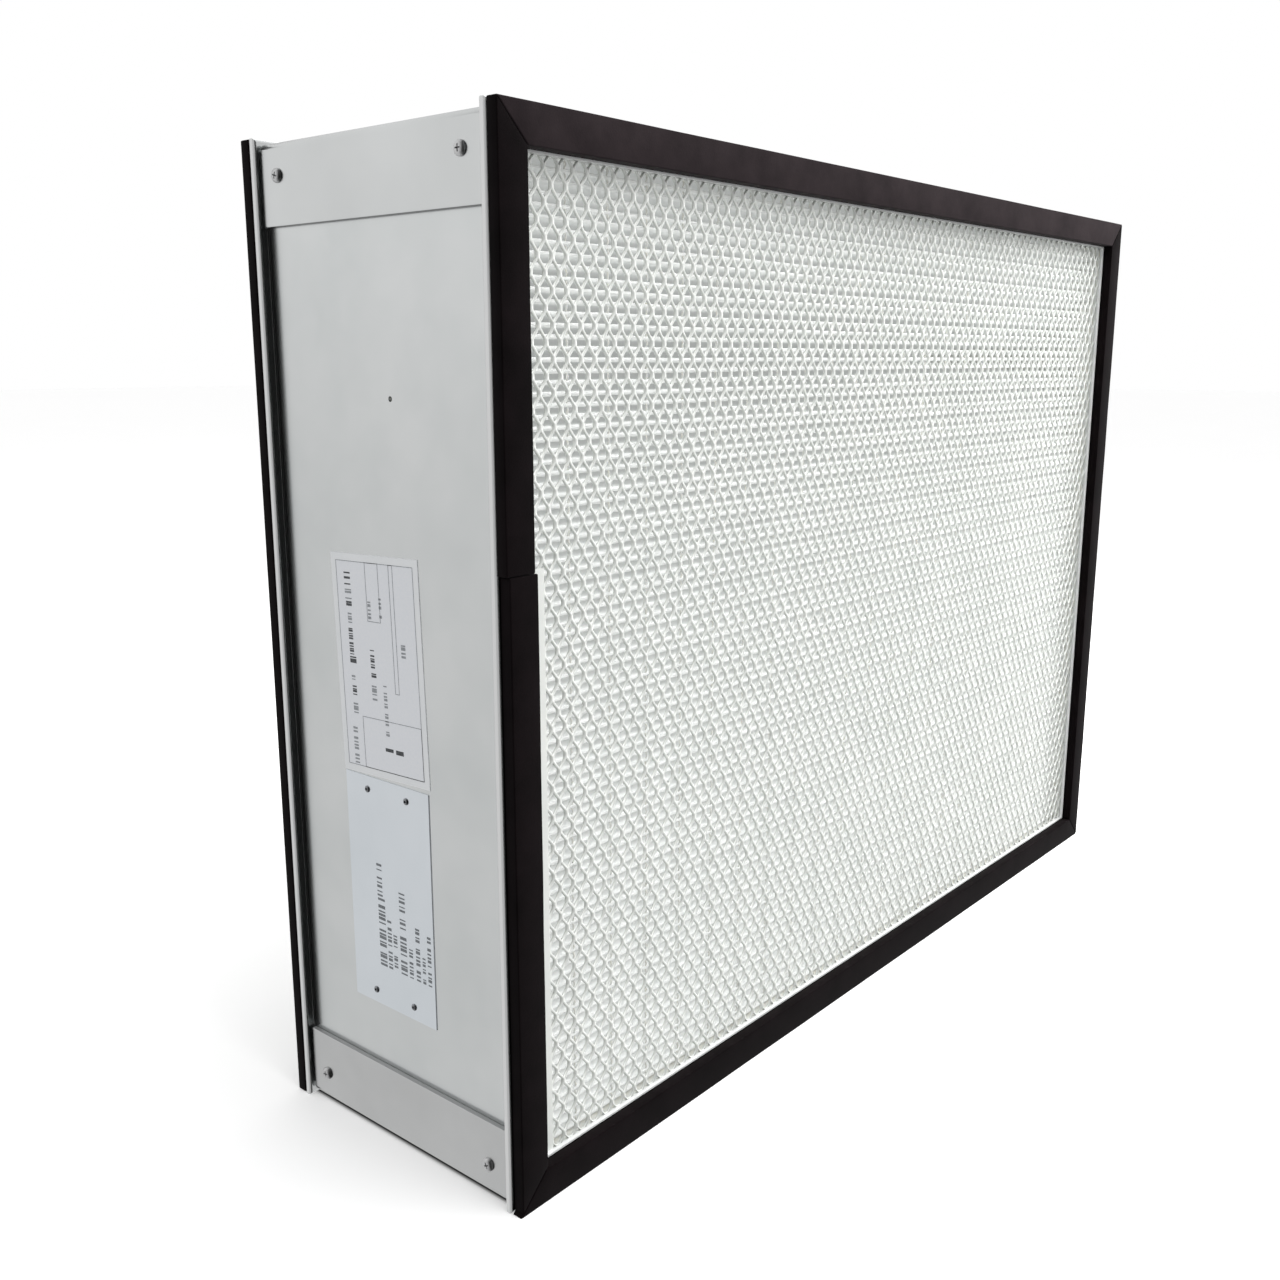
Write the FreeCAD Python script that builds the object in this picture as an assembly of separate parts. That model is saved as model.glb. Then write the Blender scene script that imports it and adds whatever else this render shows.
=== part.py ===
import FreeCAD, Part
import math
import os

# A HEPA filter box that stands upright: a shallow aluminium box frame round a block of pleated paper,
# with a white mesh guard and a black sponge gasket on each of its two faces.
# X runs across the face, Y from the front face to the rear face, and Z up. The origin is under the
# middle of the box, on the surface that it stands on. All sizes are in millimetres.

Vector = FreeCAD.Vector
X_AXIS = Vector(1, 0, 0)
Y_AXIS = Vector(0, 1, 0)
Z_AXIS = Vector(0, 0, 1)
ORIGIN = Vector(0, 0, 0)

# Frame: four channels folded from sheet, mitred at the corners
WIDTH = 610.0
HEIGHT = 457.0
FRAME_DEPTH = 149.0
SHEET = 2.0
CHANNEL_RECESS = 5.0        # from the edge of a lip down to the web
FLANGE_WIDTH = 17.0         # from the edge of a lip to the inner edge of its flange
BEND_RADIUS = 1.0           # inside radius of the bend between lip and web
HEM_RADIUS = 1.5            # outside radius of the folded edge of a lip
TEST_HOLE_RADIUS = 1.25     # small drilled hole in the left web
TEST_HOLE_Y = -8.3
TEST_HOLE_Z = 347.8

# Corner brackets: folded plates in the outer channel, with two screws in each leg
BRACKET_PLATE = 2.5
BRACKET_REACH = 37.0        # from the edge of a lip to the end of a leg
BRACKET_SIDE_GAP = 0.3      # between the bracket and the bends beside it
SCREW_INSET = 16.2          # from the outer corner of the frame, along a leg
SCREW_HALF_SPAN = 58.0      # each side of the middle of the frame's depth
SHANK_RADIUS = 1.95
SCREW_CLEARANCE = 0.15
HEAD_RADIUS = 3.1
HEAD_RIM = 0.5              # straight part of the head
HEAD_CROWN = 1.2            # sloping part above it
CROWN_RADIUS = 1.8
FASTENER_SIDES = 8          # small fasteners and their holes have this many flat sides

# Gaskets: closed-cell sponge strips with mitred ends
GASKET_WIDTH = 16.0
GASKET_THICKNESS = 6.0
GASKET_JOINT_Z = 281.0      # butt joint in the left strip of the front gasket
GASKET_SHIFT = 1.5          # the piece below that joint lies this much further in

# Mesh guards: expanded metal sheets with six-sided openings, drawn coarser than the real mesh
GUARD_THICKNESS = 1.5
GUARD_SIDE_GAP = 0.5        # between the edge of a guard and the web
GUARD_RIM = 4.5             # least metal between the opening of the flange and a hole
MESH_COARSENESS = 6.0       # times the real size
MESH_PITCH_X = 8.2
MESH_PITCH_Z = 13.2
MESH_BOND_WIDTH = 2.0       # metal between two openings that lie side by side
MESH_BOND_LENGTH = 3.4      # metal between two openings that lie one over the other
MESH_FLAT_SIDE = 2.4        # upright side of an opening
LEAST_OPENING = 0.3         # share of an opening that is still cut where the rim crosses it

# Sealant that holds the pleated pack in the frame
SEAL_THICKNESS = 6.0

# Pleated pack, with its folds across the box, and the hot-melt threads that space the folds
PLEAT_PITCH = 4.58
PLEAT_PAPER = 0.5           # a tip is pinched flat, so it is two papers wide
PACK_TO_GUARD = 5.3
THREAD_PITCH = 25.4
THREAD_WIDTH = 1.2
THREAD_CREST = 0.6          # width of a thread at its top
THREAD_HEIGHT = 0.7
THREAD_EDGE_SPACE = 8.0     # least distance from a thread to the end of the pack

# Paper label and riveted plate on the left web
LABEL_LENGTH = 100.5
LABEL_WIDTH = 59.0
LABEL_THICKNESS = 0.25
LABEL_Y = 6.2
LABEL_TILT = -1.8           # degrees about the X axis
LABEL_ABOVE_PLATE = 0.4     # least space between the label and the plate under it
PLATE_LENGTH = 111.6
PLATE_WIDTH = 57.0
PLATE_THICKNESS = 0.4
PLATE_Y = 5.0
PLATE_Z = 123.4
RIVET_Y_SPAN = 26.9
RIVET_Z_SPAN = 99.0
RIVET_HEAD_RADIUS = 1.6
RIVET_HEAD_RIM = 0.3
RIVET_HEAD_CROWN = 0.4
RIVET_CROWN_RADIUS = 1.0
RIVET_SHANK_RADIUS = 0.9
RIVET_CLEARANCE = 0.1

# Places that follow from the sizes above
WEB_INSIDE = CHANNEL_RECESS + SHEET
PACK_EDGE = WEB_INSIDE + SEAL_THICKNESS
BRACKET_FACE = CHANNEL_RECESS - BRACKET_PLATE
FLANGE_FACE_Y = FRAME_DEPTH / 2
GUARD_OUTER_Y = FLANGE_FACE_Y - SHEET
GUARD_INNER_Y = GUARD_OUTER_Y - GUARD_THICKNESS
PLEAT_TIP_Y = GUARD_INNER_Y - PACK_TO_GUARD
BRACKET_HALF_DEPTH = FLANGE_FACE_Y - 2 * SHEET - BEND_RADIUS - BRACKET_SIDE_GAP
PACK_HALF_WIDTH = WIDTH / 2 - PACK_EDGE
LEFT_WEB_X = -WIDTH / 2 + CHANNEL_RECESS
LABEL_LEAN = math.radians(LABEL_TILT)
LABEL_HALF_HEIGHT = (LABEL_LENGTH * math.cos(LABEL_LEAN) + LABEL_WIDTH * math.sin(abs(LABEL_LEAN))) / 2
LABEL_Z = PLATE_Z + PLATE_LENGTH / 2 + LABEL_ABOVE_PLATE + LABEL_HALF_HEIGHT
SIDE_LENGTHS = {"bottom": WIDTH, "top": WIDTH, "left": HEIGHT, "right": HEIGHT}
CORNERS = {
    "top_left": (-1, 1),
    "top_right": (1, 1),
    "bottom_left": (-1, -1),
    "bottom_right": (1, -1),
}


def save(shape, node):
    """Writes one piece to its STEP file."""
    shape.exportStep("parts/" + node + ".step")


def box_between(low, high):
    """A box from its lowest corner to its highest corner."""
    size = high.sub(low)
    return Part.makeBox(size.x, size.y, size.z, low)


def arc_about(centre, radius, start_degrees, end_degrees):
    """Start, middle and end of an arc in the plane X = 0. Degrees run from +Y towards +Z."""
    points = []
    for angle in (start_degrees, (start_degrees + end_degrees) / 2, end_degrees):
        turn = math.radians(angle)
        y = centre[0] + radius * math.cos(turn)
        z = centre[1] + radius * math.sin(turn)
        points.append(Vector(0, y, z))
    return points


def face_round(stations):
    """A flat face round corners, each one point, and arcs, each a start, a middle and an end."""
    edges = []
    for index, station in enumerate(stations):
        if len(station) == 3:
            edges.append(Part.Arc(*station).toShape())
        following = stations[(index + 1) % len(stations)][0]
        if station[-1].distanceToPoint(following) > 1e-6:
            edges.append(Part.LineSegment(station[-1], following).toShape())
    return Part.Face(Part.Wire(edges))


def closed(points):
    """The points of an outline, with the first one again at the end."""
    return points + points[:1]


def face_of_points(points):
    """A flat face with straight edges between its points."""
    return Part.Face(Part.makePolygon(closed(points)))


def channel_half_section():
    """The folded sheet from the middle of the web to the inner edge of the front flange."""
    front = -FLANGE_FACE_Y
    inside_of_lip = front + 2 * SHEET
    hem = min(HEM_RADIUS, SHEET)
    bend_centre = (inside_of_lip + BEND_RADIUS, CHANNEL_RECESS - BEND_RADIUS)
    return face_round([
        [Vector(0, front, FLANGE_WIDTH)],
        arc_about((front + hem, hem), hem, 180, 270),
        arc_about((inside_of_lip - hem, hem), hem, 270, 360),
        arc_about(bend_centre, BEND_RADIUS, 180, 90),
        [Vector(0, 0, CHANNEL_RECESS)],
        [Vector(0, 0, WEB_INSIDE)],
        arc_about(bend_centre, BEND_RADIUS + SHEET, 90, 180),
        [Vector(0, front + SHEET, FLANGE_WIDTH)],
    ])


def strip_section(near_y, far_y, low_z, high_z):
    """A rectangle across a strip."""
    corners = [(near_y, low_z), (far_y, low_z), (far_y, high_z), (near_y, high_z)]
    return face_of_points([Vector(0, y, z) for y, z in corners])


def mitred_run(section, length):
    """Runs a section along X, and cuts both ends at 45 degrees."""
    run = section.extrude(Vector(length, 0, 0))
    run.translate(Vector(-length / 2, 0, 0))
    depth = FRAME_DEPTH + 4 * GASKET_THICKNESS
    corners = [(-length / 2, 0), (length / 2, 0), (0, length / 2)]
    wedge = face_of_points([Vector(x, -depth / 2, z) for x, z in corners])
    return run.common(wedge.extrude(Vector(0, depth, 0)))


def onto_side(shape, side):
    """Turns a piece that was made along the bottom edge of the box onto one of its four sides."""
    placed = shape.copy()
    turns = {"bottom": 0, "left": 90, "top": 180, "right": -90}
    places = {
        "bottom": ORIGIN,
        "left": Vector(-WIDTH / 2, 0, HEIGHT / 2),
        "top": Vector(0, 0, HEIGHT),
        "right": Vector(WIDTH / 2, 0, HEIGHT / 2),
    }
    placed.rotate(ORIGIN, Y_AXIS, turns[side])
    placed.translate(places[side])
    return placed


def screw_places(corner):
    """The four points on a bracket where its screws sit, each with the way its head faces."""
    across, up = CORNERS[corner]
    leg_x = across * (WIDTH / 2 - BRACKET_FACE)
    leg_z = HEIGHT / 2 + up * (HEIGHT / 2 - BRACKET_FACE)
    screw_x = across * (WIDTH / 2 - SCREW_INSET)
    screw_z = HEIGHT / 2 + up * (HEIGHT / 2 - SCREW_INSET)
    places = []
    for y in (-SCREW_HALF_SPAN, SCREW_HALF_SPAN):
        places.append((Vector(leg_x, y, screw_z), Vector(across, 0, 0)))
        places.append((Vector(screw_x, y, leg_z), Vector(0, 0, up)))
    return places


def regular_outline(radius, z):
    """The flat-sided outline of a small fastener, level at a height."""
    step = 2 * math.pi / FASTENER_SIDES
    turns = [(side + 0.5) * step for side in range(FASTENER_SIDES)]
    return [Vector(radius * math.cos(turn), radius * math.sin(turn), z) for turn in turns]


def flat_sided_bar(radius, length):
    """A straight bar from Z = 0 down to its length."""
    return face_of_points(regular_outline(radius, 0)).extrude(Z_AXIS * -length)


def placed_along(shape, point, outward):
    """Moves a shape that was made along +Z to a point, with its top facing outward."""
    placed = shape.copy()
    placed.Placement = FreeCAD.Placement(point, FreeCAD.Rotation(Z_AXIS, outward))
    return placed


def shank_holes():
    """The holes of all sixteen screws, as one shape to cut with."""
    start = BRACKET_PLATE / 2
    bar = flat_sided_bar(SHANK_RADIUS + SCREW_CLEARANCE, 2 * BRACKET_PLATE + 2 * SHEET)
    holes = []
    for corner in CORNERS:
        for point, outward in screw_places(corner):
            holes.append(placed_along(bar, point + outward * start, outward))
    return Part.makeCompound(holes)


def rivet_places():
    """The four rivet centres of the plate on the left web."""
    places = []
    for y_sign in (-1, 1):
        for z_sign in (-1, 1):
            y = PLATE_Y + y_sign * RIVET_Y_SPAN / 2
            z = PLATE_Z + z_sign * RIVET_Z_SPAN / 2
            places.append(Vector(LEFT_WEB_X, y, z))
    return places


def rivet_holes():
    """Through holes for the rivets, in plate and web."""
    bar = flat_sided_bar(RIVET_SHANK_RADIUS + RIVET_CLEARANCE, 2 * PLATE_THICKNESS + 2 * SHEET)
    faces_out = X_AXIS * -1
    start = faces_out * (2 * PLATE_THICKNESS)
    return Part.makeCompound([placed_along(bar, p + start, faces_out) for p in rivet_places()])


def frame_channel(side):
    """One side of the frame: a web between two hemmed lips, with a flange on each face."""
    half = mitred_run(channel_half_section(), SIDE_LENGTHS[side])
    whole = half.fuse(half.mirror(ORIGIN, Y_AXIS)).removeSplitter()
    channel = onto_side(whole, side).cut(shank_holes())
    if side == "left":
        start = Vector(LEFT_WEB_X - SHEET / 2, TEST_HOLE_Y, TEST_HOLE_Z)
        bar = flat_sided_bar(TEST_HOLE_RADIUS, 2 * SHEET)
        channel = channel.cut(placed_along(bar, start, X_AXIS * -1)).cut(rivet_holes())
    return channel


def corner_bracket(corner):
    """A folded plate that lies in the outer channel and joins two sides of the frame."""
    across, up = CORNERS[corner]
    reach = BRACKET_REACH - BRACKET_FACE
    deep = 2 * BRACKET_HALF_DEPTH
    outer = Part.makeBox(reach, deep, reach, Vector(0, -BRACKET_HALF_DEPTH, 0))
    bend = [e for e in outer.Edges if e.CenterOfMass.distanceToPoint(ORIGIN) < 1e-6]
    outer = outer.makeFillet(BRACKET_PLATE, bend)
    inner = Part.makeBox(reach, 2 * deep, reach, Vector(BRACKET_PLATE, -deep, BRACKET_PLATE))
    bracket = outer.cut(inner)
    if across > 0:
        bracket = bracket.mirror(ORIGIN, X_AXIS)
    if up > 0:
        bracket = bracket.mirror(ORIGIN, Z_AXIS)
    corner_x = across * (WIDTH / 2 - BRACKET_FACE)
    corner_z = HEIGHT / 2 + up * (HEIGHT / 2 - BRACKET_FACE)
    bracket.translate(Vector(corner_x, 0, corner_z))
    return bracket.cut(shank_holes())


def headed_fastener(head_radius, rim, crown, crown_radius, shank_radius, shank_length):
    """A fastener with a low head that slopes to a flat crown. The head sits on Z = 0."""
    outlines = [
        regular_outline(shank_radius, -shank_length),
        regular_outline(shank_radius, 0),
        regular_outline(head_radius, 0),
        regular_outline(head_radius, rim),
        regular_outline(crown_radius, rim + crown),
    ]
    faces = [face_of_points(outlines[0]), face_of_points(outlines[-1])]
    for below, above in zip(outlines, outlines[1:]):
        for side in range(FASTENER_SIDES):
            faces.append(face_of_points([below[side - 1], below[side], above[side], above[side - 1]]))
    return Part.makeSolid(Part.makeShell(faces))


def bracket_screws(corner):
    """The four screws of one bracket. They end flush with the inside of the web."""
    screw = headed_fastener(
        HEAD_RADIUS, HEAD_RIM, HEAD_CROWN, CROWN_RADIUS, SHANK_RADIUS, BRACKET_PLATE + SHEET
    )
    return Part.makeCompound([placed_along(screw, p, out) for p, out in screw_places(corner)])


def gasket_strip(side, shift=0.0):
    """One strip of the front gasket."""
    face = -FLANGE_FACE_Y - GASKET_THICKNESS
    section = strip_section(-FLANGE_FACE_Y, face, shift, shift + GASKET_WIDTH)
    return onto_side(mitred_run(section, SIDE_LENGTHS[side]), side)


def left_front_gaskets():
    """The left strip of the front gasket is two lengths that meet end to end."""
    reach = 2 * WIDTH
    middle = Vector(0, 0, GASKET_JOINT_Z)
    above = Part.makeBox(2 * reach, 2 * reach, reach, middle - Vector(reach, reach, 0))
    below = Part.makeBox(2 * reach, 2 * reach, reach, middle - Vector(reach, reach, reach))
    upper = gasket_strip("left").common(above)
    lower = gasket_strip("left", GASKET_SHIFT).common(below)
    return upper, lower


def opening(x, z, y):
    """A six-sided opening of the mesh: upright sides, and a point at the top and the bottom."""
    half_width = (MESH_PITCH_X - MESH_BOND_WIDTH) * MESH_COARSENESS / 2
    half_height = (MESH_PITCH_Z - MESH_BOND_LENGTH) * MESH_COARSENESS / 2
    half_side = MESH_FLAT_SIDE * MESH_COARSENESS / 2
    corners = [
        (0, half_height),
        (half_width, half_side),
        (half_width, -half_side),
        (0, -half_height),
        (-half_width, -half_side),
        (-half_width, half_side),
    ]
    return face_of_points([Vector(x + dx, y, z + dz) for dx, dz in corners])


def mesh_openings(y):
    """Rows of openings behind the opening of the flange, each row half a pitch beside the last.

    Openings that meet the rim are cut off there, and what would be left as a sliver is left out.
    """
    pitch_x = MESH_PITCH_X * MESH_COARSENESS
    pitch_z = MESH_PITCH_Z * MESH_COARSENESS / 2
    room_x = WIDTH - 2 * (FLANGE_WIDTH + GUARD_RIM)
    room_z = HEIGHT - 2 * (FLANGE_WIDTH + GUARD_RIM)
    low = Vector(-room_x / 2, y, (HEIGHT - room_z) / 2)
    visible = box_between(low, low + Vector(room_x, GUARD_THICKNESS, room_z))
    rows = max(int(room_z // pitch_z), 1)
    openings = []
    for row in range(rows):
        columns = max(int(room_x // pitch_x), 1) + row % 2
        z = HEIGHT / 2 + (row - (rows - 1) / 2) * pitch_z
        for column in range(columns):
            x = (column - (columns - 1) / 2) * pitch_x
            whole = opening(x, z, y).extrude(Vector(0, GUARD_THICKNESS, 0))
            cut = whole.common(visible)
            if cut.Volume > LEAST_OPENING * whole.Volume:
                openings.append(cut)
    return openings


def mesh_guard():
    """The front guard: a sheet behind the flanges, with staggered openings."""
    edge = WEB_INSIDE + GUARD_SIDE_GAP
    y = -GUARD_OUTER_Y
    corners = [
        (-WIDTH / 2 + edge, edge),
        (WIDTH / 2 - edge, edge),
        (WIDTH / 2 - edge, HEIGHT - edge),
        (-WIDTH / 2 + edge, HEIGHT - edge),
    ]
    outline = face_of_points([Vector(x, y, z) for x, z in corners])
    sheet = outline.extrude(Vector(0, GUARD_THICKNESS, 0))
    return sheet.cut(Part.makeCompound(mesh_openings(y)))


def seal_strip(side):
    """The poured sealant on one side, between the web and the edge of the pack."""
    section = strip_section(GUARD_INNER_Y, -GUARD_INNER_Y, WEB_INSIDE, PACK_EDGE)
    return onto_side(mitred_run(section, SIDE_LENGTHS[side]), side)


def pleated_pack():
    """One sheet of paper, folded to and fro between the two faces, with its folds along X.

    The folds are pinched: each tip is two papers wide, and its inside is a sharp crease. The first
    and the last stretch of paper lie flat on the sealant.
    """
    paper = PLEAT_PAPER
    low = PACK_EDGE
    high = HEIGHT - PACK_EDGE
    count = max(round((high - low - 2 * paper) / PLEAT_PITCH), 1)
    pitch = (high - low - 2 * paper) / count
    front = [(-PLEAT_TIP_Y, low), (-PLEAT_TIP_Y, low + paper)]
    rear = []
    for fold in range(count + 1):
        rear_z = low + paper + fold * pitch
        front.append((PLEAT_TIP_Y - paper, rear_z))
        rear.append((PLEAT_TIP_Y, rear_z - paper))
        rear.append((PLEAT_TIP_Y, rear_z + paper))
        if fold < count:
            front_z = rear_z + pitch / 2
            front.append((-PLEAT_TIP_Y, front_z - paper))
            front.append((-PLEAT_TIP_Y, front_z + paper))
            rear.append((-PLEAT_TIP_Y + paper, front_z))
    front.append((-PLEAT_TIP_Y, high - paper))
    front.append((-PLEAT_TIP_Y, high))
    outline = [Vector(-PACK_HALF_WIDTH, y, z) for y, z in front + rear[::-1]]
    return face_of_points(outline).extrude(Vector(2 * PACK_HALF_WIDTH, 0, 0))


def spacer_threads():
    """The hot-melt threads across the front tips of the folds, each a low ridge."""
    reach = int((PACK_HALF_WIDTH - THREAD_EDGE_SPACE) // THREAD_PITCH)
    foot = THREAD_WIDTH / 2
    crest = THREAD_CREST / 2
    base = -PLEAT_TIP_Y
    top = base - THREAD_HEIGHT
    threads = []
    for index in range(-reach, reach + 1):
        x = index * THREAD_PITCH
        section = [(x - foot, base), (x - crest, top), (x + crest, top), (x + foot, base)]
        face = face_of_points([Vector(px, py, PACK_EDGE) for px, py in section])
        threads.append(face.extrude(Vector(0, 0, HEIGHT - 2 * PACK_EDGE)))
    return Part.makeCompound(threads)


def rating_label():
    """A paper label stuck a little askew on the left web."""
    label = Part.makeBox(
        LABEL_THICKNESS,
        LABEL_WIDTH,
        LABEL_LENGTH,
        Vector(LEFT_WEB_X - LABEL_THICKNESS, -LABEL_WIDTH / 2, -LABEL_LENGTH / 2),
    )
    label.rotate(ORIGIN, X_AXIS, LABEL_TILT)
    label.translate(Vector(0, LABEL_Y, LABEL_Z))
    return label


def name_plate():
    """A thin bare plate under the label, with a hole at each corner for a rivet."""
    low = Vector(
        LEFT_WEB_X - PLATE_THICKNESS, PLATE_Y - PLATE_WIDTH / 2, PLATE_Z - PLATE_LENGTH / 2
    )
    high = Vector(LEFT_WEB_X, PLATE_Y + PLATE_WIDTH / 2, PLATE_Z + PLATE_LENGTH / 2)
    return box_between(low, high).cut(rivet_holes())


def plate_rivets():
    """Four small rivets, flush with the inside of the web."""
    rivet = headed_fastener(
        RIVET_HEAD_RADIUS,
        RIVET_HEAD_RIM,
        RIVET_HEAD_CROWN,
        RIVET_CROWN_RADIUS,
        RIVET_SHANK_RADIUS,
        PLATE_THICKNESS + SHEET,
    )
    faces_out = X_AXIS * -1
    on_plate = [place + faces_out * PLATE_THICKNESS for place in rivet_places()]
    return Part.makeCompound([placed_along(rivet, place, faces_out) for place in on_plate])


def main():
    os.makedirs("parts", exist_ok=True)
    for side in SIDE_LENGTHS:
        save(frame_channel(side), "frame_" + side)
        save(seal_strip(side), "seal_" + side)
        strip = gasket_strip(side)
        save(strip.mirror(ORIGIN, Y_AXIS), "gasket_rear_" + side)
        if side != "left":
            save(strip, "gasket_front_" + side)
    upper, lower = left_front_gaskets()
    save(upper, "gasket_front_left_upper")
    save(lower, "gasket_front_left_lower")
    for corner in CORNERS:
        save(corner_bracket(corner), "corner_bracket_" + corner)
        save(bracket_screws(corner), "bracket_screws_" + corner)
    guard = mesh_guard()
    save(guard, "guard_front")
    save(guard.mirror(ORIGIN, Y_AXIS), "guard_rear")
    save(pleated_pack(), "pleated_pack")
    threads = spacer_threads()
    save(threads, "spacer_threads_front")
    save(threads.mirror(ORIGIN, Y_AXIS), "spacer_threads_rear")
    save(rating_label(), "rating_label")
    save(name_plate(), "name_plate")
    save(plate_rivets(), "plate_rivets")


main()
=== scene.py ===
"""The looks of a HEPA filter box: an aluminium frame round pleated paper, with mesh guards and gaskets."""

import logging
import math
from contextlib import contextmanager
from dataclasses import dataclass
from enum import Enum
from typing import Callable, Iterator

import bmesh
import bpy
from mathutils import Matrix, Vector


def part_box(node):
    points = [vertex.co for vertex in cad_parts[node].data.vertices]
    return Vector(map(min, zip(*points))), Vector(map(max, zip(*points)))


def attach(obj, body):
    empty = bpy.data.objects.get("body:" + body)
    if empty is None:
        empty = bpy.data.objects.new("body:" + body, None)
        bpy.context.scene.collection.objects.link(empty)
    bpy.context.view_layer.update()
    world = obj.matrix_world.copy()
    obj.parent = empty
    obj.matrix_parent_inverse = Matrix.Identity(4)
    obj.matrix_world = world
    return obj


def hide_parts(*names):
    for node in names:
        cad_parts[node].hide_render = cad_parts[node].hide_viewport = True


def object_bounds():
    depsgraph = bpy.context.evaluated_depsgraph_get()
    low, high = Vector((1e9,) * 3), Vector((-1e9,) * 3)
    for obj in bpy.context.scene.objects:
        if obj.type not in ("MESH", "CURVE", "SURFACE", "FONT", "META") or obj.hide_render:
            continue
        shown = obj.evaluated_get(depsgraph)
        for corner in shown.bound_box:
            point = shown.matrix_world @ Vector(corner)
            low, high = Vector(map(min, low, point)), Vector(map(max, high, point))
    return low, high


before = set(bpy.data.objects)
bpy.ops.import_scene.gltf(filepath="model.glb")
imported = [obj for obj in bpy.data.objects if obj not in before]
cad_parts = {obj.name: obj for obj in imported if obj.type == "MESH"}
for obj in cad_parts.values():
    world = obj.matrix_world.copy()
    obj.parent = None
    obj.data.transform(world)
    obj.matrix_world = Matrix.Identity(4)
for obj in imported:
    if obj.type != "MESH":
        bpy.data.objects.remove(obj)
cad_low, cad_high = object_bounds()

logging.basicConfig(level=logging.INFO, format="%(message)s")
log = logging.getLogger("filter_box")

Tree = bpy.types.NodeTree
Node = bpy.types.Node
Socket = bpy.types.NodeSocket
Material = bpy.types.Material
Piece = bpy.types.Object
Triple = tuple[float, float, float]

MM = 0.001
BODY = "root"
SIDES = ("bottom", "top", "left", "right")
CORNERS = ("top_left", "top_right", "bottom_left", "bottom_right")
MIDDLE = (cad_low + cad_high) / 2
SAME_POINT = 0.002 * MM
MEETING = 0.005 * MM


class Part(Enum):
    """What a selection in edit mode picks."""

    POINTS = "VERT"
    EDGES = "EDGE"
    FACES = "FACE"


class Rolling(Enum):
    """The axis along which a sheet was rolled."""

    LEVEL = 0
    UPRIGHT = 2


class Edges(Enum):
    """Which edges of a sheet get a colour of painted light or shade."""

    # Folded lips get a painted highlight; the flange margin is lighter and less metallic.
    FOLDED = "lips folded double and a sheared flange"
    # Sheared edges get a less metallic colour, painted light in place of a dark reflection.
    SHEARED = "sheared all round"
    # The darker ends of upright legs, facing up or down, are painted shade.
    SAWN = "legs sawn off, with dark ends"


def millimetres(*sizes: float) -> Vector:
    """Turns sizes in millimetres into a vector in metres."""
    return Vector([size * MM for size in sizes])


# Colours and nodes


def from_hex(code: str) -> tuple[float, float, float, float]:
    """Turns an sRGB hex colour into the linear colour that a shader takes.

    Args:
        code: Six hex digits after a hash sign.

    Returns:
        Linear red, green, blue and an alpha of one.
    """
    parts = [int(code[place:place + 2], 16) / 255 for place in (1, 3, 5)]
    linear = [c / 12.92 if c <= 0.04045 else ((c + 0.055) / 1.055) ** 2.4 for c in parts]
    return (linear[0], linear[1], linear[2], 1.0)


def connect(tree: Tree, node: Node, inputs: dict) -> None:
    """Sets the inputs of a node.

    Args:
        tree: The node tree.
        node: The node.
        inputs: Values, or output sockets to link, by the input's name or number.
    """
    for name, value in inputs.items():
        if isinstance(value, Socket):
            tree.links.new(value, node.inputs[name])
        else:
            node.inputs[name].default_value = value


def add_node(tree: Tree, kind: str, inputs: dict | None = None, **settings: object) -> Node:
    """Adds a node with its settings, values and links.

    Args:
        tree: The node tree that gets the node.
        kind: The node's type, without the words that every shader node's type starts with.
        inputs: Values for its inputs, or output sockets to link to them, by name or number.
        **settings: Properties of the node itself.

    Returns:
        The new node.
    """
    node = tree.nodes.new("ShaderNode" + kind)
    for name, value in settings.items():
        setattr(node, name, value)
    connect(tree, node, inputs or {})
    return node


def past_box(tree: Tree, first: int, second: int) -> Socket:
    """Measures how far a place lies outside the box, along the larger of two axes.

    Args:
        tree: The node tree.
        first: The number of one axis.
        second: The number of the other.

    Returns:
        The socket with the distance in metres, below zero inside the box.
    """
    place = add_node(tree, "TexCoord").outputs["Object"]
    about = add_node(tree, "VectorMath", {0: place, 1: MIDDLE}, operation="SUBTRACT").outputs[0]
    reach = add_node(tree, "VectorMath", {0: about}, operation="ABSOLUTE").outputs[0]
    inputs = {0: reach, 1: cad_high - MIDDLE}
    past = add_node(tree, "VectorMath", inputs, operation="SUBTRACT").outputs[0]
    parts = add_node(tree, "SeparateXYZ", {0: past}).outputs
    inputs = {0: parts[first], 1: parts[second]}
    return add_node(tree, "Math", inputs, operation="MAXIMUM").outputs[0]


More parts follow.
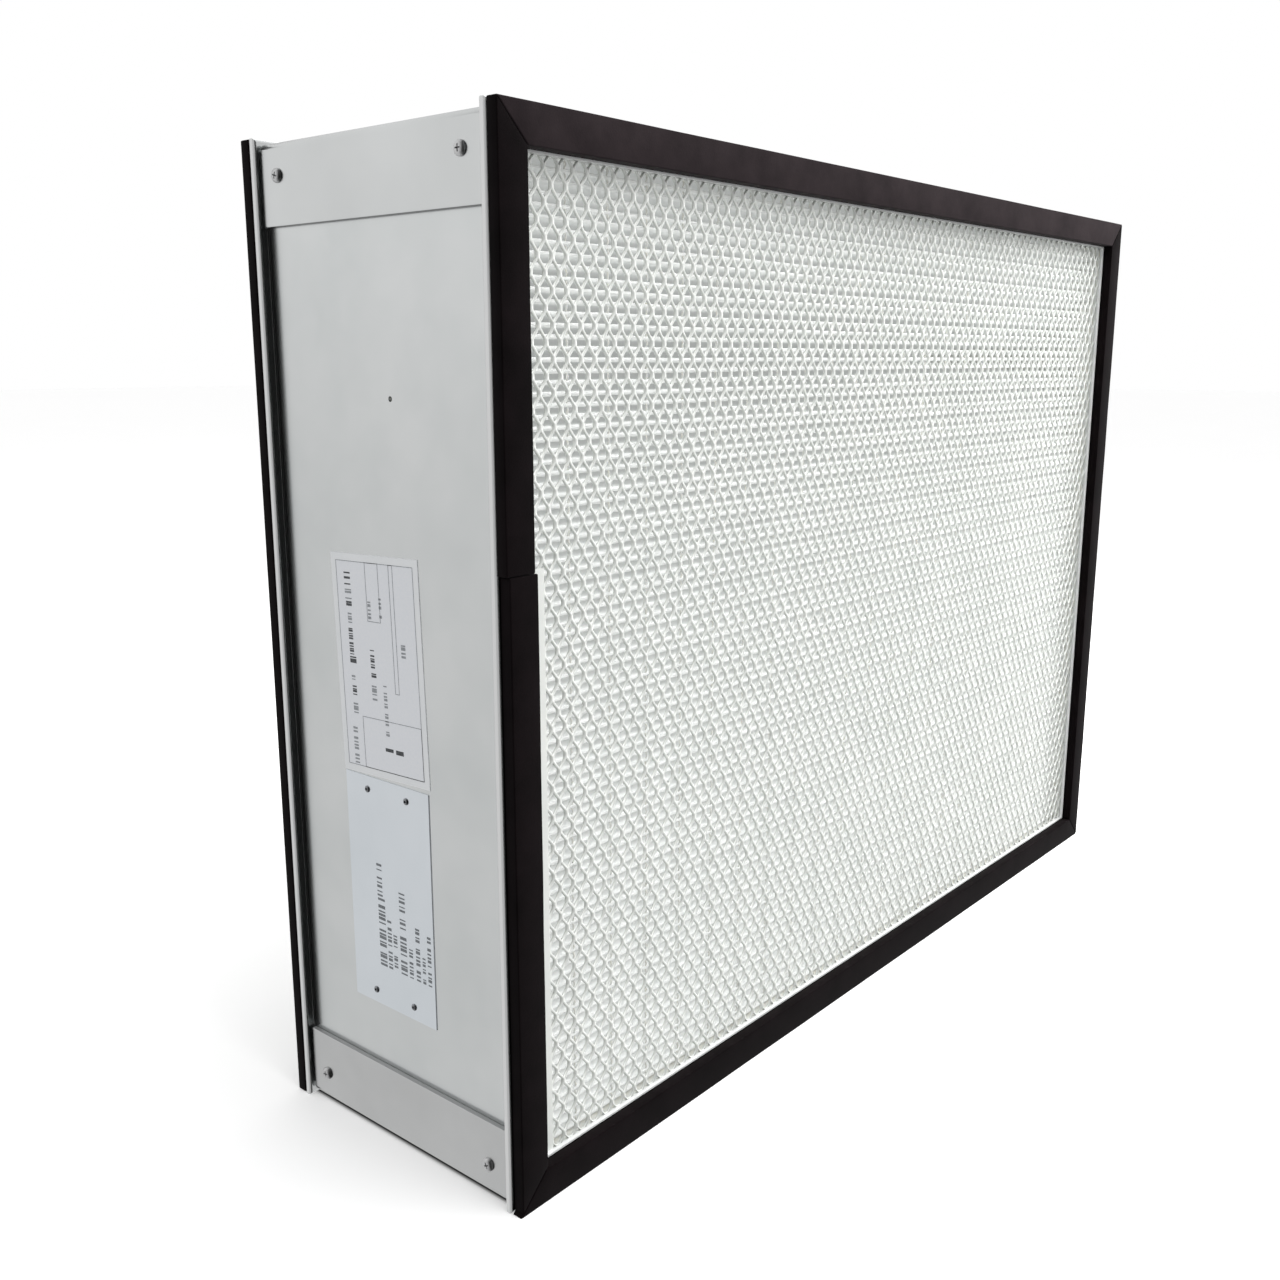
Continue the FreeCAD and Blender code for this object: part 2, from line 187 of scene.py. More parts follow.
class Skin:
    """A material in the making: its node tree, its shader and the random patterns that go on it."""

    def __init__(self, name: str) -> None:
        """Starts with a plain shader.

        Args:
            name: The material's name.
        """
        self.material = bpy.data.materials.new(name)
        self.material.use_nodes = True
        self.tree = self.material.node_tree
        self.tree.nodes.clear()
        self.shader = add_node(self.tree, "BsdfPrincipled")
        add_node(self.tree, "OutputMaterial", {"Surface": self.shader.outputs[0]})

    def place(self, stretch: Triple = (1, 1, 1)) -> Socket:
        """Reads the place on the object, with factors along X, Y and Z."""
        place = add_node(self.tree, "TexCoord").outputs["Object"]
        return add_node(self.tree, "Mapping", {"Vector": place, "Scale": stretch}).outputs[0]

    def spots(self, grain: float, stretch: Triple = (1, 1, 1), detail: float = 3.0) -> Socket:
        """Makes a soft random pattern whose spots have a real size.

        Args:
            grain: The size of a spot in millimetres.
            stretch: How much finer it is along X, Y and Z.
            detail: How many finer layers it has.

        Returns:
            The socket with values round one half.
        """
        inputs = {"Vector": self.place(stretch), "Scale": 1 / (grain * MM)}
        inputs |= {"Detail": detail, "Roughness": 0.55}
        return add_node(self.tree, "TexNoise", inputs).outputs[0]

    def between(self, spots: Socket, low: float, high: float) -> Socket:
        """Spreads the middle of a random pattern over a range."""
        inputs = {"Value": spots, "From Min": 0.3, "From Max": 0.7, "To Min": low, "To Max": high}
        return add_node(self.tree, "MapRange", inputs).outputs[0]

    def two_tone(self, spots: Socket, first: str, second: str) -> Socket:
        """Blends two hex colours by a random pattern."""
        inputs = {0: self.between(spots, 0.0, 1.0), 6: from_hex(first), 7: from_hex(second)}
        return add_node(self.tree, "Mix", inputs, data_type="RGBA").outputs[2]

    def finished(
        self, inputs: dict, relief: Socket | None = None, depth: float = 0.0, strength: float = 1.0
    ) -> Material:
        """Sets or links the shader's inputs, and turns a pattern into its relief.

        Args:
            inputs: Values or output sockets, by the names of the shader's inputs.
            relief: The socket with the relief's heights, on a skin that has one.
            depth: The relief's depth in millimetres.
            strength: How strongly the relief counts.

        Returns:
            The material.
        """
        if relief is not None:
            bump = {"Height": relief, "Distance": depth * MM, "Strength": strength}
            inputs["Normal"] = add_node(self.tree, "Bump", bump).outputs[0]
        connect(self.tree, self.shader, inputs)
        return self.material


# Finishes


@dataclass(frozen=True)
class SatinAluminium:
    """Mill-finish aluminium sheet, etched satin.

    Rolling leaves faint streaks along the sheet, which the eye sees as a soft, slightly uneven sheen.
    They are drawn wider than they are, because the real ones are too fine to show. Marked edges get
    their own colour and less metal, which is painted light: a painted highlight on folded lips, a lighter
    tone on the flange margin, a less metallic tone on sheared edges and painted shade on the ends of legs.
    """

    name: str
    light: str = "#E2E4E4"
    dark: str = "#D9DCDC"
    # The colour of marked edges: painted highlight or painted light where it is pale, painted shade where
    # it is dark.
    edge: str = "#ECEDED"
    edges: Edges = Edges.FOLDED
    rolling: Rolling = Rolling.UPRIGHT
    roughness: float = 0.25
    smoother: float = 0.01
    rougher: float = 0.02
    edge_metallic: float = 0.25
    streak_across: float = 0.35
    streak_along: float = 60.0
    streak_depth: float = 0.012
    streak_strength: float = 0.03
    cloud: float = 45.0
    lip_depth: float = 0.9
    lip_blend: float = 0.5
    gasket_width: float = 16.1
    flange_back: float = 72.4
    corner_depth: float = 20.0
    askew: float = 0.5
    square: float = 0.9

    def make(self) -> Material:
        """Builds the material.

        Returns:
            The material.
        """
        skin = Skin(self.name)
        stretch = [1 / self.streak_across] * 3
        stretch[self.rolling.value] = 1 / self.streak_along
        streaks = skin.spots(1.0, tuple(stretch), 2.0)
        sheet = skin.two_tone(skin.spots(self.cloud), self.dark, self.light)
        # The mask of marked edges, where the edge colour and less metal paint light or shade.
        finders = {Edges.FOLDED: self.on_lip, Edges.SHEARED: self.on_cut, Edges.SAWN: self.on_end}
        painted_edge_light_and_shade = finders[self.edges](skin.tree)
        colours = {0: painted_edge_light_and_shade, 6: sheet, 7: from_hex(self.edge)}
        dull = {"Value": painted_edge_light_and_shade, "To Min": 1.0, "To Max": self.edge_metallic}
        rough = skin.between(streaks, self.roughness - self.smoother, self.roughness + self.rougher)
        inputs = {
            "Base Color": add_node(skin.tree, "Mix", colours, data_type="RGBA").outputs[2],
            "Metallic": add_node(skin.tree, "MapRange", dull).outputs[0],
            "Roughness": rough,
        }
        return skin.finished(inputs, streaks, self.streak_depth, self.streak_strength)

    def facing(self, tree: Tree, axis: int) -> Socket:
        """Reads how squarely a face is turned to an axis.

        Args:
            tree: The node tree.
            axis: The number of the axis.

        Returns:
            The socket that is one on a face square to the axis.
        """
        normal = add_node(tree, "NewGeometry").outputs["True Normal"]
        turned = add_node(tree, "VectorMath", {0: normal}, operation="ABSOLUTE").outputs[0]
        return add_node(tree, "SeparateXYZ", {0: turned}).outputs[axis]

    def on_cut(self, tree: Tree) -> Socket:
        """Finds the sheared edges of a sheet that lies against the left or right side.

        Args:
            tree: The node tree.

        Returns:
            The socket that is one on a sheared edge and zero on the face of the sheet.
        """
        inputs = {"Value": self.facing(tree, 0), "From Min": self.askew, "From Max": self.square}
        inputs |= {"To Min": 1.0, "To Max": 0.0}
        return add_node(tree, "MapRange", inputs).outputs[0]

    def on_end(self, tree: Tree) -> Socket:
        """Finds the ends of upright legs, which face up or down away from the box's corners.

        Args:
            tree: The node tree.

        Returns:
            The socket that is one on such an end and zero elsewhere.
        """
        inputs = {0: self.facing(tree, 2), 1: self.square}
        level = add_node(tree, "Math", inputs, operation="GREATER_THAN").outputs[0]
        inputs = {0: past_box(tree, 2, 2), 1: -self.corner_depth * MM}
        inside = add_node(tree, "Math", inputs, operation="LESS_THAN").outputs[0]
        return add_node(tree, "Math", {0: level, 1: inside}, operation="MULTIPLY").outputs[0]

    def on_lip(self, tree: Tree) -> Socket:
        """Finds the folded lips and the sheared margin of the flanges.

        Args:
            tree: The node tree.

        Returns:
            The socket that is one on a worked edge and zero elsewhere.
        """
        outermost = past_box(tree, 0, 2)
        start = -self.lip_depth * MM
        inputs = {"Value": outermost, "From Min": start, "From Max": start + self.lip_blend * MM}
        lip = add_node(tree, "MapRange", inputs).outputs[0]
        inputs = {0: outermost, 1: -self.gasket_width * MM}
        inner = add_node(tree, "Math", inputs, operation="LESS_THAN").outputs[0]
        inputs = {0: past_box(tree, 1, 1), 1: self.flange_back * MM - cad_high.y}
        front = add_node(tree, "Math", inputs, operation="GREATER_THAN").outputs[0]
        margin = add_node(tree, "Math", {0: inner, 1: front}, operation="MULTIPLY").outputs[0]
        return add_node(tree, "Math", {0: lip, 1: margin}, operation="MAXIMUM").outputs[0]


@dataclass(frozen=True)
class SpongeRubber:
    """Closed-cell sponge rubber with a thin skin.

    The cut cells make it matt and nearly black with a warm cast, with fine pores and a faint bloom of dust.
    """

    name: str = "sponge_rubber"
    deep: str = "#090506"
    bloom: str = "#120C0E"
    cloud: float = 18.0
    pore: float = 0.7
    pore_depth: float = 0.08
    pore_strength: float = 0.6

    def make(self) -> Material:
        """Builds the material.

        Returns:
            The material.
        """
        skin = Skin(self.name)
        cells = {"Vector": skin.place(), "Scale": 1 / (self.pore * MM)}
        pores = add_node(skin.tree, "TexVoronoi", cells).outputs["Distance"]
        inputs = {
            "Base Color": skin.two_tone(skin.spots(self.cloud), self.deep, self.bloom),
            "Roughness": 0.72,
            "IOR": 1.5,
            "Specular IOR Level": 0.06,
            "Sheen Weight": 0.02,
            "Sheen Roughness": 0.5,
        }
        return skin.finished(inputs, pores, self.pore_depth, self.pore_strength)


@dataclass(frozen=True)
class PowderCoat:
    """White powder coat on expanded metal, slightly wavy like orange peel, with a soft gloss."""

    name: str = "white_powder_coat"
    white: str = "#E2E4E0"
    shade: str = "#DADDD9"
    cloud: float = 30.0
    peel: float = 0.8
    peel_depth: float = 0.02
    peel_strength: float = 0.4

    def make(self) -> Material:
        """Builds the material.

        Returns:
            The material.
        """
        skin = Skin(self.name)
        colour = skin.two_tone(skin.spots(self.cloud), self.shade, self.white)
        inputs = {"Base Color": colour, "Roughness": 0.42, "IOR": 1.5}
        return skin.finished(inputs, skin.spots(self.peel), self.peel_depth, self.peel_strength)


@dataclass(frozen=True)
class FilterPaper:
    """Glass-fibre paper: matt, bright white, with a soft felted grain of fine fibres.

    It glows faintly, which is painted light: the glow lifts the gaps between the rows of tips to a pale
    shade, in place of the light that comes through the thin paper from fold to fold. The fibres are too
    fine to show, so the grain is drawn coarser.
    """

    name: str = "glass_fibre_paper"
    white: str = "#F7F8F7"
    shade: str = "#F0F2F1"
    cloud: float = 12.0
    fibre: float = 0.5
    fibre_stretch: float = 0.4
    fibre_depth: float = 0.05
    fibre_strength: float = 0.6
    glow: float = 0.088

    def make(self) -> Material:
        """Builds the material.

        Returns:
            The material.
        """
        skin = Skin(self.name)
        fibres = skin.spots(self.fibre, (self.fibre_stretch, 1, 1), 4.0)
        inputs = {
            "Base Color": skin.two_tone(skin.spots(self.cloud), self.shade, self.white),
            "Roughness": 0.92,
            "Sheen Weight": 0.15,
            # The emission is painted light: the paper glows faintly though it is no lamp.
            "Emission Color": from_hex(self.white),
            "Emission Strength": self.glow,
        }
        return skin.finished(inputs, fibres, self.fibre_depth, self.fibre_strength)


@dataclass(frozen=True)
class CastResin:
    """Poured or drawn resin, such as sealant and hot-melt: off-white and waxy, with soft highlights."""

    name: str
    pale: str = "#F3F3EF"
    deep: str = "#EAEAE4"
    roughness: float = 0.45
    cloud: float = 9.0
    dimple: float = 2.0
    dimple_depth: float = 0.05
    dimple_strength: float = 0.4

    def make(self) -> Material:
        """Builds the material.

        Returns:
            The material.
        """
        skin = Skin(self.name)
        inputs = {
            "Base Color": skin.two_tone(skin.spots(self.cloud), self.deep, self.pale),
            "Roughness": self.roughness,
            "Subsurface Weight": 0.15,
            "Subsurface Radius": (0.001, 0.0009, 0.0007),
        }
        return skin.finished(inputs, skin.spots(self.dimple), self.dimple_depth, self.dimple_strength)


@dataclass(frozen=True)
class CoatedPaper:
    """Coated label stock: smooth white paper with a faint sheen.

    Its tooth is too fine to show, so it is drawn coarser and very shallow.
    """

    name: str = "label_paper"
    white: str = "#F1F3F5"
    shade: str = "#EAEDEF"
    cloud: float = 25.0
    tooth: float = 0.4
    tooth_depth: float = 0.01
    tooth_strength: float = 0.3

    def make(self) -> Material:
        """Builds the material.

        Returns:
            The material.
        """
        skin = Skin(self.name)
        colour = skin.two_tone(skin.spots(self.cloud), self.shade, self.white)
        inputs = {"Base Color": colour, "Roughness": 0.5}
        return skin.finished(inputs, skin.spots(self.tooth), self.tooth_depth, self.tooth_strength)


@dataclass(frozen=True)
class PrintInk:
    """Printer's ink: a thin flat film, a little uneven where it thins out."""

    name: str
    full: str
    thin: str
    wear: float = 1.2

    def make(self) -> Material:
        """Builds the material.

        Returns:
            The material.
        """
        skin = Skin(self.name)
        colour = skin.two_tone(skin.spots(self.wear), self.full, self.thin)
        return skin.finished({"Base Color": colour, "Roughness": 0.6})


@dataclass(frozen=True)
class PlatedSteel:
    """Steel with a thin plating, as on small screws and rivets: soft highlights, lightly scuffed."""

    name: str
    light: str
    dark: str
    roughness: float = 0.46
    smoother: float = 0.08
    rougher: float = 0.12
    scuff: float = 0.9

    def make(self) -> Material:
        """Builds the material.

        Returns:
            The material.
        """
        skin = Skin(self.name)
        scuffs = skin.spots(self.scuff, detail=4.0)
        rough = skin.between(scuffs, self.roughness - self.smoother, self.roughness + self.rougher)
        colour = skin.two_tone(scuffs, self.dark, self.light)
        return skin.finished({"Base Color": colour, "Roughness": rough, "Metallic": 1.0})


# Work at the bench


def on_bench(piece: Piece) -> None:
    """Makes one piece the only selected and the active one.

    Args:
        piece: The piece.
    """
    bpy.ops.object.select_all(action="DESELECT")
    piece.select_set(True)
    bpy.context.view_layer.objects.active = piece


def settle(piece: Piece) -> None:
    """Moves a piece's place, turn and size into its mesh."""
    on_bench(piece)
    bpy.ops.object.transform_apply(location=True, rotation=True, scale=True)


def named(name: str) -> Piece:
    """Names the piece that was just added, with its place and size in its mesh.

    Args:
        name: The piece's name.

    Returns:
        The piece.
    """
    piece = bpy.context.active_object
    piece.name = name
    piece.data.name = name
    settle(piece)
    return piece


@contextmanager
def editing(piece: Piece, part: Part) -> Iterator[None]:
    """Opens a piece in edit mode with all of it selected, and closes it again.

    Args:
        piece: The piece to edit.
        part: What is selected there.

    Yields:
        Nothing.
    """
    on_bench(piece)
    bpy.ops.object.mode_set(mode="EDIT")
    bpy.ops.mesh.select_mode(type=part.value)
    everything()
    yield
    bpy.ops.object.mode_set(mode="OBJECT")


def everything() -> None:
    """Selects all of the piece in edit mode."""
    bpy.ops.mesh.select_all(action="SELECT")


def pick(piece: Piece, part: Part, test: Callable[[object], bool]) -> None:
    """Selects the points, edges or faces of a piece in edit mode that pass a test.

    Args:
        piece: The piece in edit mode.
        part: What is picked.
        test: Tells whether a point, edge or face is wanted.
    """
    bpy.ops.mesh.select_mode(type=part.value)
    bpy.ops.mesh.select_all(action="DESELECT")
    mesh = bmesh.from_edit_mesh(piece.data)
    for element in {Part.POINTS: mesh.verts, Part.EDGES: mesh.edges, Part.FACES: mesh.faces}[part]:
        element.select_set(test(element))
    mesh.select_flush_mode()
    bmesh.update_edit_mesh(piece.data)


def grow(factors: Triple, centre: Vector | None = None) -> None:
    """Scales what is selected about a point."""
    bpy.ops.transform.resize(value=factors, center_override=centre or Vector((0, 0, 0)))


def shift(way: Vector) -> None:
    """Moves what is selected."""
    bpy.ops.transform.translate(value=way)


def pull_faces(way: Vector) -> None:
    """Extrudes the selected faces."""
    bpy.ops.mesh.extrude_region_move(TRANSFORM_OT_translate={"value": way})


def pull_edges(way: Vector) -> None:
    """Extrudes the selected edges."""
    bpy.ops.mesh.extrude_edges_move(TRANSFORM_OT_translate={"value": way})


def face_out() -> None:
    """Turns all faces of the piece in edit mode outwards."""
    everything()
    bpy.ops.mesh.normals_make_consistent(inside=False)


def with_modifier(piece: Piece, kind: str, **settings: object) -> bpy.types.Modifier:
    """Gives a piece a modifier.

    Args:
        piece: The piece.
        kind: The modifier's type.
        **settings: Its settings.

    Returns:
        The modifier.
    """
    change = piece.modifiers.new(kind.lower(), kind)
    for name, value in settings.items():
        setattr(change, name, value)
    return change


def work(piece: Piece, kind: str, **settings: object) -> None:
    """Changes the mesh of a piece with a modifier and applies it.

    Args:
        piece: The piece.
        kind: The modifier's type.
        **settings: Its settings.
    """
    change = with_modifier(piece, kind, **settings)
    on_bench(piece)
    bpy.ops.object.modifier_apply(modifier=change.name)


def thicken(piece: Piece, thickness: float, offset: int) -> None:
    """Gives a sheet its thickness in millimetres, behind, about or in front of its face."""
    work(piece, "SOLIDIFY", thickness=thickness * MM, offset=offset)


def smooth(piece: Piece, degrees: float) -> None:
    """Shades a piece smooth, with edges sharper than an angle left crisp."""
    on_bench(piece)
    bpy.ops.object.shade_smooth_by_angle(angle=math.radians(degrees))


def repeat(piece: Piece, count: int, step: Vector, merge: bool = True) -> None:
    """Repeats a piece in a row and joins the copies where they meet.

    Args:
        piece: The piece.
        count: How many there are in the row.
        step: From one to the next.
        merge: Whether points that coincide become one.
    """
    work(
        piece,
        "ARRAY",
        count=count,
        use_relative_offset=False,
        use_constant_offset=True,
        constant_offset_displace=step,
        use_merge_vertices=merge,
        merge_threshold=MEETING,
    )


def ripple(piece: Piece, direction: str, size: float, amount: float, still: float = 0.5) -> None:
    """Moves the points of a piece by a slow noise, as handling and heat do.

    Args:
        piece: The piece.
        direction: X, Y, Z or NORMAL.
        size: The width of a ripple in millimetres.
        amount: From the lowest to the highest, in millimetres.
        still: The noise that moves nothing. At one, every point moves backwards.
    """
    clouds = bpy.data.textures.new(piece.name + "_ripple", "CLOUDS")
    clouds.noise_scale = size * MM
    clouds.noise_depth = 1
    work(
        piece,
        "DISPLACE",
        texture=clouds,
        texture_coords="LOCAL",
        direction=direction,
        strength=amount * MM,
        mid_level=still,
    )


def copy_of_node(node: str, name: str) -> Piece:
    """Copies the solid of a node into a new piece and merges its loose triangles.

    Args:
        node: The node.
        name: The name of the new piece.

    Returns:
        The new piece, with flat faces in one piece each.
    """
    piece = bpy.data.objects.new(name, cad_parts[node].data.copy())
    bpy.context.scene.collection.objects.link(piece)
    piece.data.materials.clear()
    with editing(piece, Part.POINTS):
        bpy.ops.mesh.remove_doubles(threshold=SAME_POINT)
        bpy.ops.mesh.dissolve_limited(angle_limit=math.radians(1))
    return piece


def copied(piece: Piece, name: str, way: Vector) -> Piece:
    """Copies a piece with its own mesh and moves the copy.

    Args:
        piece: The piece to copy.
        name: The copy's name.
        way: From the piece to the copy.

    Returns:
        The copy.
    """
    copy = bpy.data.objects.new(name, piece.data.copy())
    bpy.context.scene.collection.objects.link(copy)
    copy.location = way
    settle(copy)
    return copy


def joined(pieces: list[Piece], name: str) -> Piece:
    """Joins pieces into one.

    Args:
        pieces: The pieces.
        name: The name of the whole.

    Returns:
        The joined piece.
    """
    on_bench(pieces[0])
    for piece in pieces:
        piece.select_set(True)
    bpy.ops.object.join()
    pieces[0].name = name
    pieces[0].data.name = name
    return pieces[0]


def mirrored_to_rear(piece: Piece, name: str) -> Piece:
    """Copies a piece of the front face to the rear face.

    Args:
        piece: The front piece.
        name: The rear piece's name.

    Returns:
        The rear piece, with its faces pointing outwards.
    """
    copy = copied(piece, name, Vector((0, 0, 0)))
    copy.scale = (1, -1, 1)
    settle(copy)
    with editing(copy, Part.FACES):
        face_out()
    return copy


def finish_piece(piece: Piece, material: Material, slot: str, *nodes: str) -> None:
    """Gives a piece its material, its body and the nodes that it stands for.

    Args:
        piece: The piece.
        material: Its material.
        slot: The record's material slot; not used.
        *nodes: The nodes that the piece replaces.
    """
    piece.data.materials.clear()
    piece.data.materials.append(material)
    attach(piece, BODY)
    if nodes:
        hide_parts(*nodes)
    log.info("%s: %d faces", piece.name, len(piece.data.polygons))


def dress(node: str, material: Material) -> None:
    """Gives a solid of the frame a material.

    Args:
        node: The solid's node.
        material: The material.
    """
    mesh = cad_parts[node].data
    mesh.materials.clear()
    mesh.materials.append(material)
    log.info("%s: dressed in %s", node, material.name)


# Sub-assemblies


@dataclass
class BoxFrame:
    """The four folded channels, the corner brackets and the sealant inside."""

    bracket_edge: float = 0.35

    def build(self) -> None:
        """Dresses the sheet metal along its rolling direction."""
        # The frame's folded lips get a painted highlight, and the flange margin a lighter, less metallic
        # tone.
        upright = SatinAluminium("satin_aluminium_upright").make()
        level = SatinAluminium("satin_aluminium_level", rolling=Rolling.LEVEL).make()
        # Bracket leg ends get painted shade: a dark line under the upper brackets, a grey line over the
        # lower.
        sawn = Edges.SAWN
        upper = SatinAluminium("bracket_aluminium", "#DDDFDF", "#D7D9D9", "#2E3030", sawn).make()
        # The lower brackets are a darker copy of the bracket metal, which is painted shade.
        lower = SatinAluminium("bracket_aluminium_painted_shade", "#D2D3D3", "#C9CACA", "#A6A8A8", sawn).make()
        sealant = CastResin("poured_sealant").make()
        for side in SIDES:
            dress("frame_" + side, upright if side in ("left", "right") else level)
            dress("seal_" + side, sealant)
        for corner in CORNERS:
            bracket = "corner_bracket_" + corner
            dress(bracket, upper if corner.startswith("top") else lower)
            self.soften(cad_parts[bracket])

    def soften(self, bracket: Piece) -> None:
        """Rounds the cut edges of a bracket a little, so that they catch the light.

        Args:
            bracket: The bracket.
        """
        with_modifier(bracket, "WELD", merge_threshold=SAME_POINT)
        with_modifier(
            bracket,
            "BEVEL",
            width=self.bracket_edge * MM,
            segments=2,
            limit_method="ANGLE",
            angle_limit=math.radians(40),
        )


@dataclass
class Gaskets:
    """The sponge strips on both faces, with soft edges that part a little at the joints."""

    edge: float = 0.7
    stretch: float = 30.0
    margin: float = 20.0
    wave: float = 0.25
    wave_size: float = 35.0
    front: tuple[str, ...] = ("bottom", "top", "right", "left_upper", "left_lower")
    rear: tuple[str, ...] = ("bottom", "top", "left", "right")

    def strip(self, node: str) -> Piece:
        """Models one strip from its solid: soft edges and a slightly uneven face.

        Args:
            node: The strip's node.

        Returns:
            The strip.
        """
        strip = copy_of_node(node, node + "_strip")
        low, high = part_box(node)
        axis = 0 if high.x - low.x > high.z - low.z else 2
        length = high[axis] - low[axis]
        cuts = max(int(length / (self.stretch * MM)), 1)
        normal = [0.0, 0.0, 0.0]
        normal[axis] = 1.0
        margin = self.margin * MM
        with editing(strip, Part.EDGES):
            for cut in range(cuts + 1):
                place = Vector(low)
                place[axis] = low[axis] + margin + (length - 2 * margin) * cut / cuts
                everything()
                bpy.ops.mesh.bisect(plane_co=place, plane_no=normal)
        limit = math.radians(30)
        work(strip, "BEVEL", width=self.edge * MM, segments=3, limit_method="ANGLE", angle_limit=limit)
        ripple(strip, "NORMAL", self.wave_size, self.wave, 1.0)
        smooth(strip, 40)
        return strip

    def build(self) -> None:
        """Builds and dresses every strip. The top ones get a lighter copy of the rubber, which is painted
        light.
        """
        rubber = SpongeRubber().make()
        # A lighter copy of the rubber for the top strips, painted light.
        painted_light_rubber = SpongeRubber("sponge_rubber_painted_light", deep="#241E20", bloom="#2F282A").make()
        nodes = ["gasket_front_" + side for side in self.front]
        nodes += ["gasket_rear_" + side for side in self.rear]
        for node in nodes:
            finish_piece(self.strip(node), painted_light_rubber if node.endswith("top") else rubber, "gasket", node)


@dataclass
class MeshGuard:
    """A guard of expanded metal: rounded strands round staggered six-sided openings, in a plain rim."""

    pitch_x: float = 8.2
    pitch_z: float = 13.2
    bond_width: float = 2.0
    bond_length: float = 3.4
    flat_side: float = 2.4
    crown: float = 0.3
    strand_depth: float = 0.8
    twist: float = 0.12
    first_inset: float = 0.3
    reach: float = 0.1
    weld: float = 0.01
    columns: int = 71
    row_pairs: int = 32
    rim_half_width: float = 290.0
    rim_half_height: float = 211.5
    rim_depth: float = 1.0
    margin_inner_x: float = -276.5
    margin_depth: float = 0.3

    def cell(self, face_y: float) -> Piece:
        """Models the strands round one opening.

        Args:
            face_y: The place of the strands' crown, in metres.

        Returns:
            The cell, centred on X and Z.
        """
        half_open_x = (self.pitch_x - self.bond_width) / 2
        half_open_z = (self.pitch_z - self.bond_length) / 2
        slope = (half_open_z - self.flat_side / 2) / half_open_x
        drift = self.pitch_x / 2 - half_open_x
        rise = self.pitch_z / 2 - half_open_z - self.flat_side / 2
        tip = half_open_z + (rise + drift * slope) / 2
        outer = (self.pitch_x / 2, tip, self.pitch_z / 2 - tip)
        inner = (half_open_x, half_open_z, self.flat_side / 2)
        bpy.ops.mesh.primitive_circle_add(
            vertices=6, radius=1.0, fill_type="NGON", rotation=(math.pi / 2, 0, 0)
        )
        cell = named("strand_cell")
        with editing(cell, Part.FACES):
            self.fit_outline(cell, outer)
            bpy.ops.mesh.inset(thickness=self.first_inset * MM, depth=0)
            self.fit_outline(cell, inner)
            shift(millimetres(0, self.crown, 0))
            pull_faces(millimetres(0, self.strand_depth, 0))
            pull_faces(millimetres(0, self.crown, 0))
            self.fit_outline(cell, outer)
            bpy.ops.mesh.delete(type="ONLY_FACE")
            for way in (-1, 1):
                pick(cell, Part.POINTS, lambda point: self.on_side(point, way))
                shift(millimetres(0, way * self.twist, 0))
            everything()
            shift(Vector((0, face_y, 0)))
        return cell

    def on_side(self, point: bmesh.types.BMVert, way: int) -> bool:
        """Tells whether a point is on the left or right side of the opening itself."""
        out = point.co.x * way
        return self.reach * MM < out < (self.pitch_x / 2 - self.reach) * MM

    def fit_outline(self, cell: Piece, outline: Triple) -> None:
        """Fits the selected face to a six-sided outline that points up.

        Args:
            cell: The cell in edit mode, with one face selected.
            outline: Half the width, the tip's height and the height of the side corners.
        """
        half_width, tip, corner = outline
        mesh = bmesh.from_edit_mesh(cell.data)
        points = {point for face in mesh.faces if face.select for point in face.verts}
        width = max(point.co.x for point in points)
        height = max(point.co.z for point in points)
        grow((half_width * MM / width, 1, tip * MM / height))
        side = min(abs(point.co.z) for point in points)
        for point in points:
            if abs(point.co.x) > 0.5 * half_width * MM:
                point.co.z *= corner * MM / side
        bmesh.update_edit_mesh(cell.data)

    def sheet(self, name: str, middle: Vector, width: float, height: float) -> Piece:
        """Adds an upright sheet across the face.

        Args:
            name: Its name.
            middle: Its middle.
            width: Its width in metres.
            height: Its height in metres.

        Returns:
            The sheet, without thickness.
        """
        bpy.ops.mesh.primitive_plane_add(size=1.0, location=middle, rotation=(math.pi / 2, 0, 0))
        bpy.context.active_object.scale = (width, height, 1)
        return named(name)

    def rim(self, face_y: float) -> Piece:
        """Models the plain rim of the guard, which lies behind the flanges.

        Args:
            face_y: The place of the rim's face, in metres.

        Returns:
            The rim.
        """
        low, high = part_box("guard_front")
        middle = (low + high) / 2
        half_width = (high.x - low.x) / 2
        half_height = (high.z - low.z) / 2
        place = Vector((middle.x, face_y, middle.z))
        rim = self.sheet("guard_rim", place, high.x - low.x, high.z - low.z)
        margin = half_width - self.rim_half_width * MM
        with editing(rim, Part.FACES):
            bpy.ops.mesh.inset(thickness=margin)
            grow((1, 1, self.rim_half_height * MM / (half_height - margin)), middle)
            bpy.ops.mesh.delete(type="FACE")
        thicken(rim, self.rim_depth, -1)
        return rim

    def margin(self) -> Piece:
        """Models the uncut margin that shows beside the lower left gasket strip.

        Returns:
            The margin.
        """
        low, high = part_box("guard_front")
        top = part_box("gasket_front_left_lower")[1].z
        outer_x = -self.rim_half_width * MM
        inner_x = self.margin_inner_x * MM
        middle = Vector(((outer_x + inner_x) / 2, low.y, (low.z + top) / 2))
        margin = self.sheet("guard_margin", middle, inner_x - outer_x, top - low.z)
        with editing(margin, Part.EDGES):
            pick(margin, Part.EDGES, lambda edge: all(point.co.x > middle.x for point in edge.verts))
            pull_edges(Vector((0, high.y - low.y - self.margin_depth * MM, 0)))
        thicken(margin, self.margin_depth, -1)
        return margin

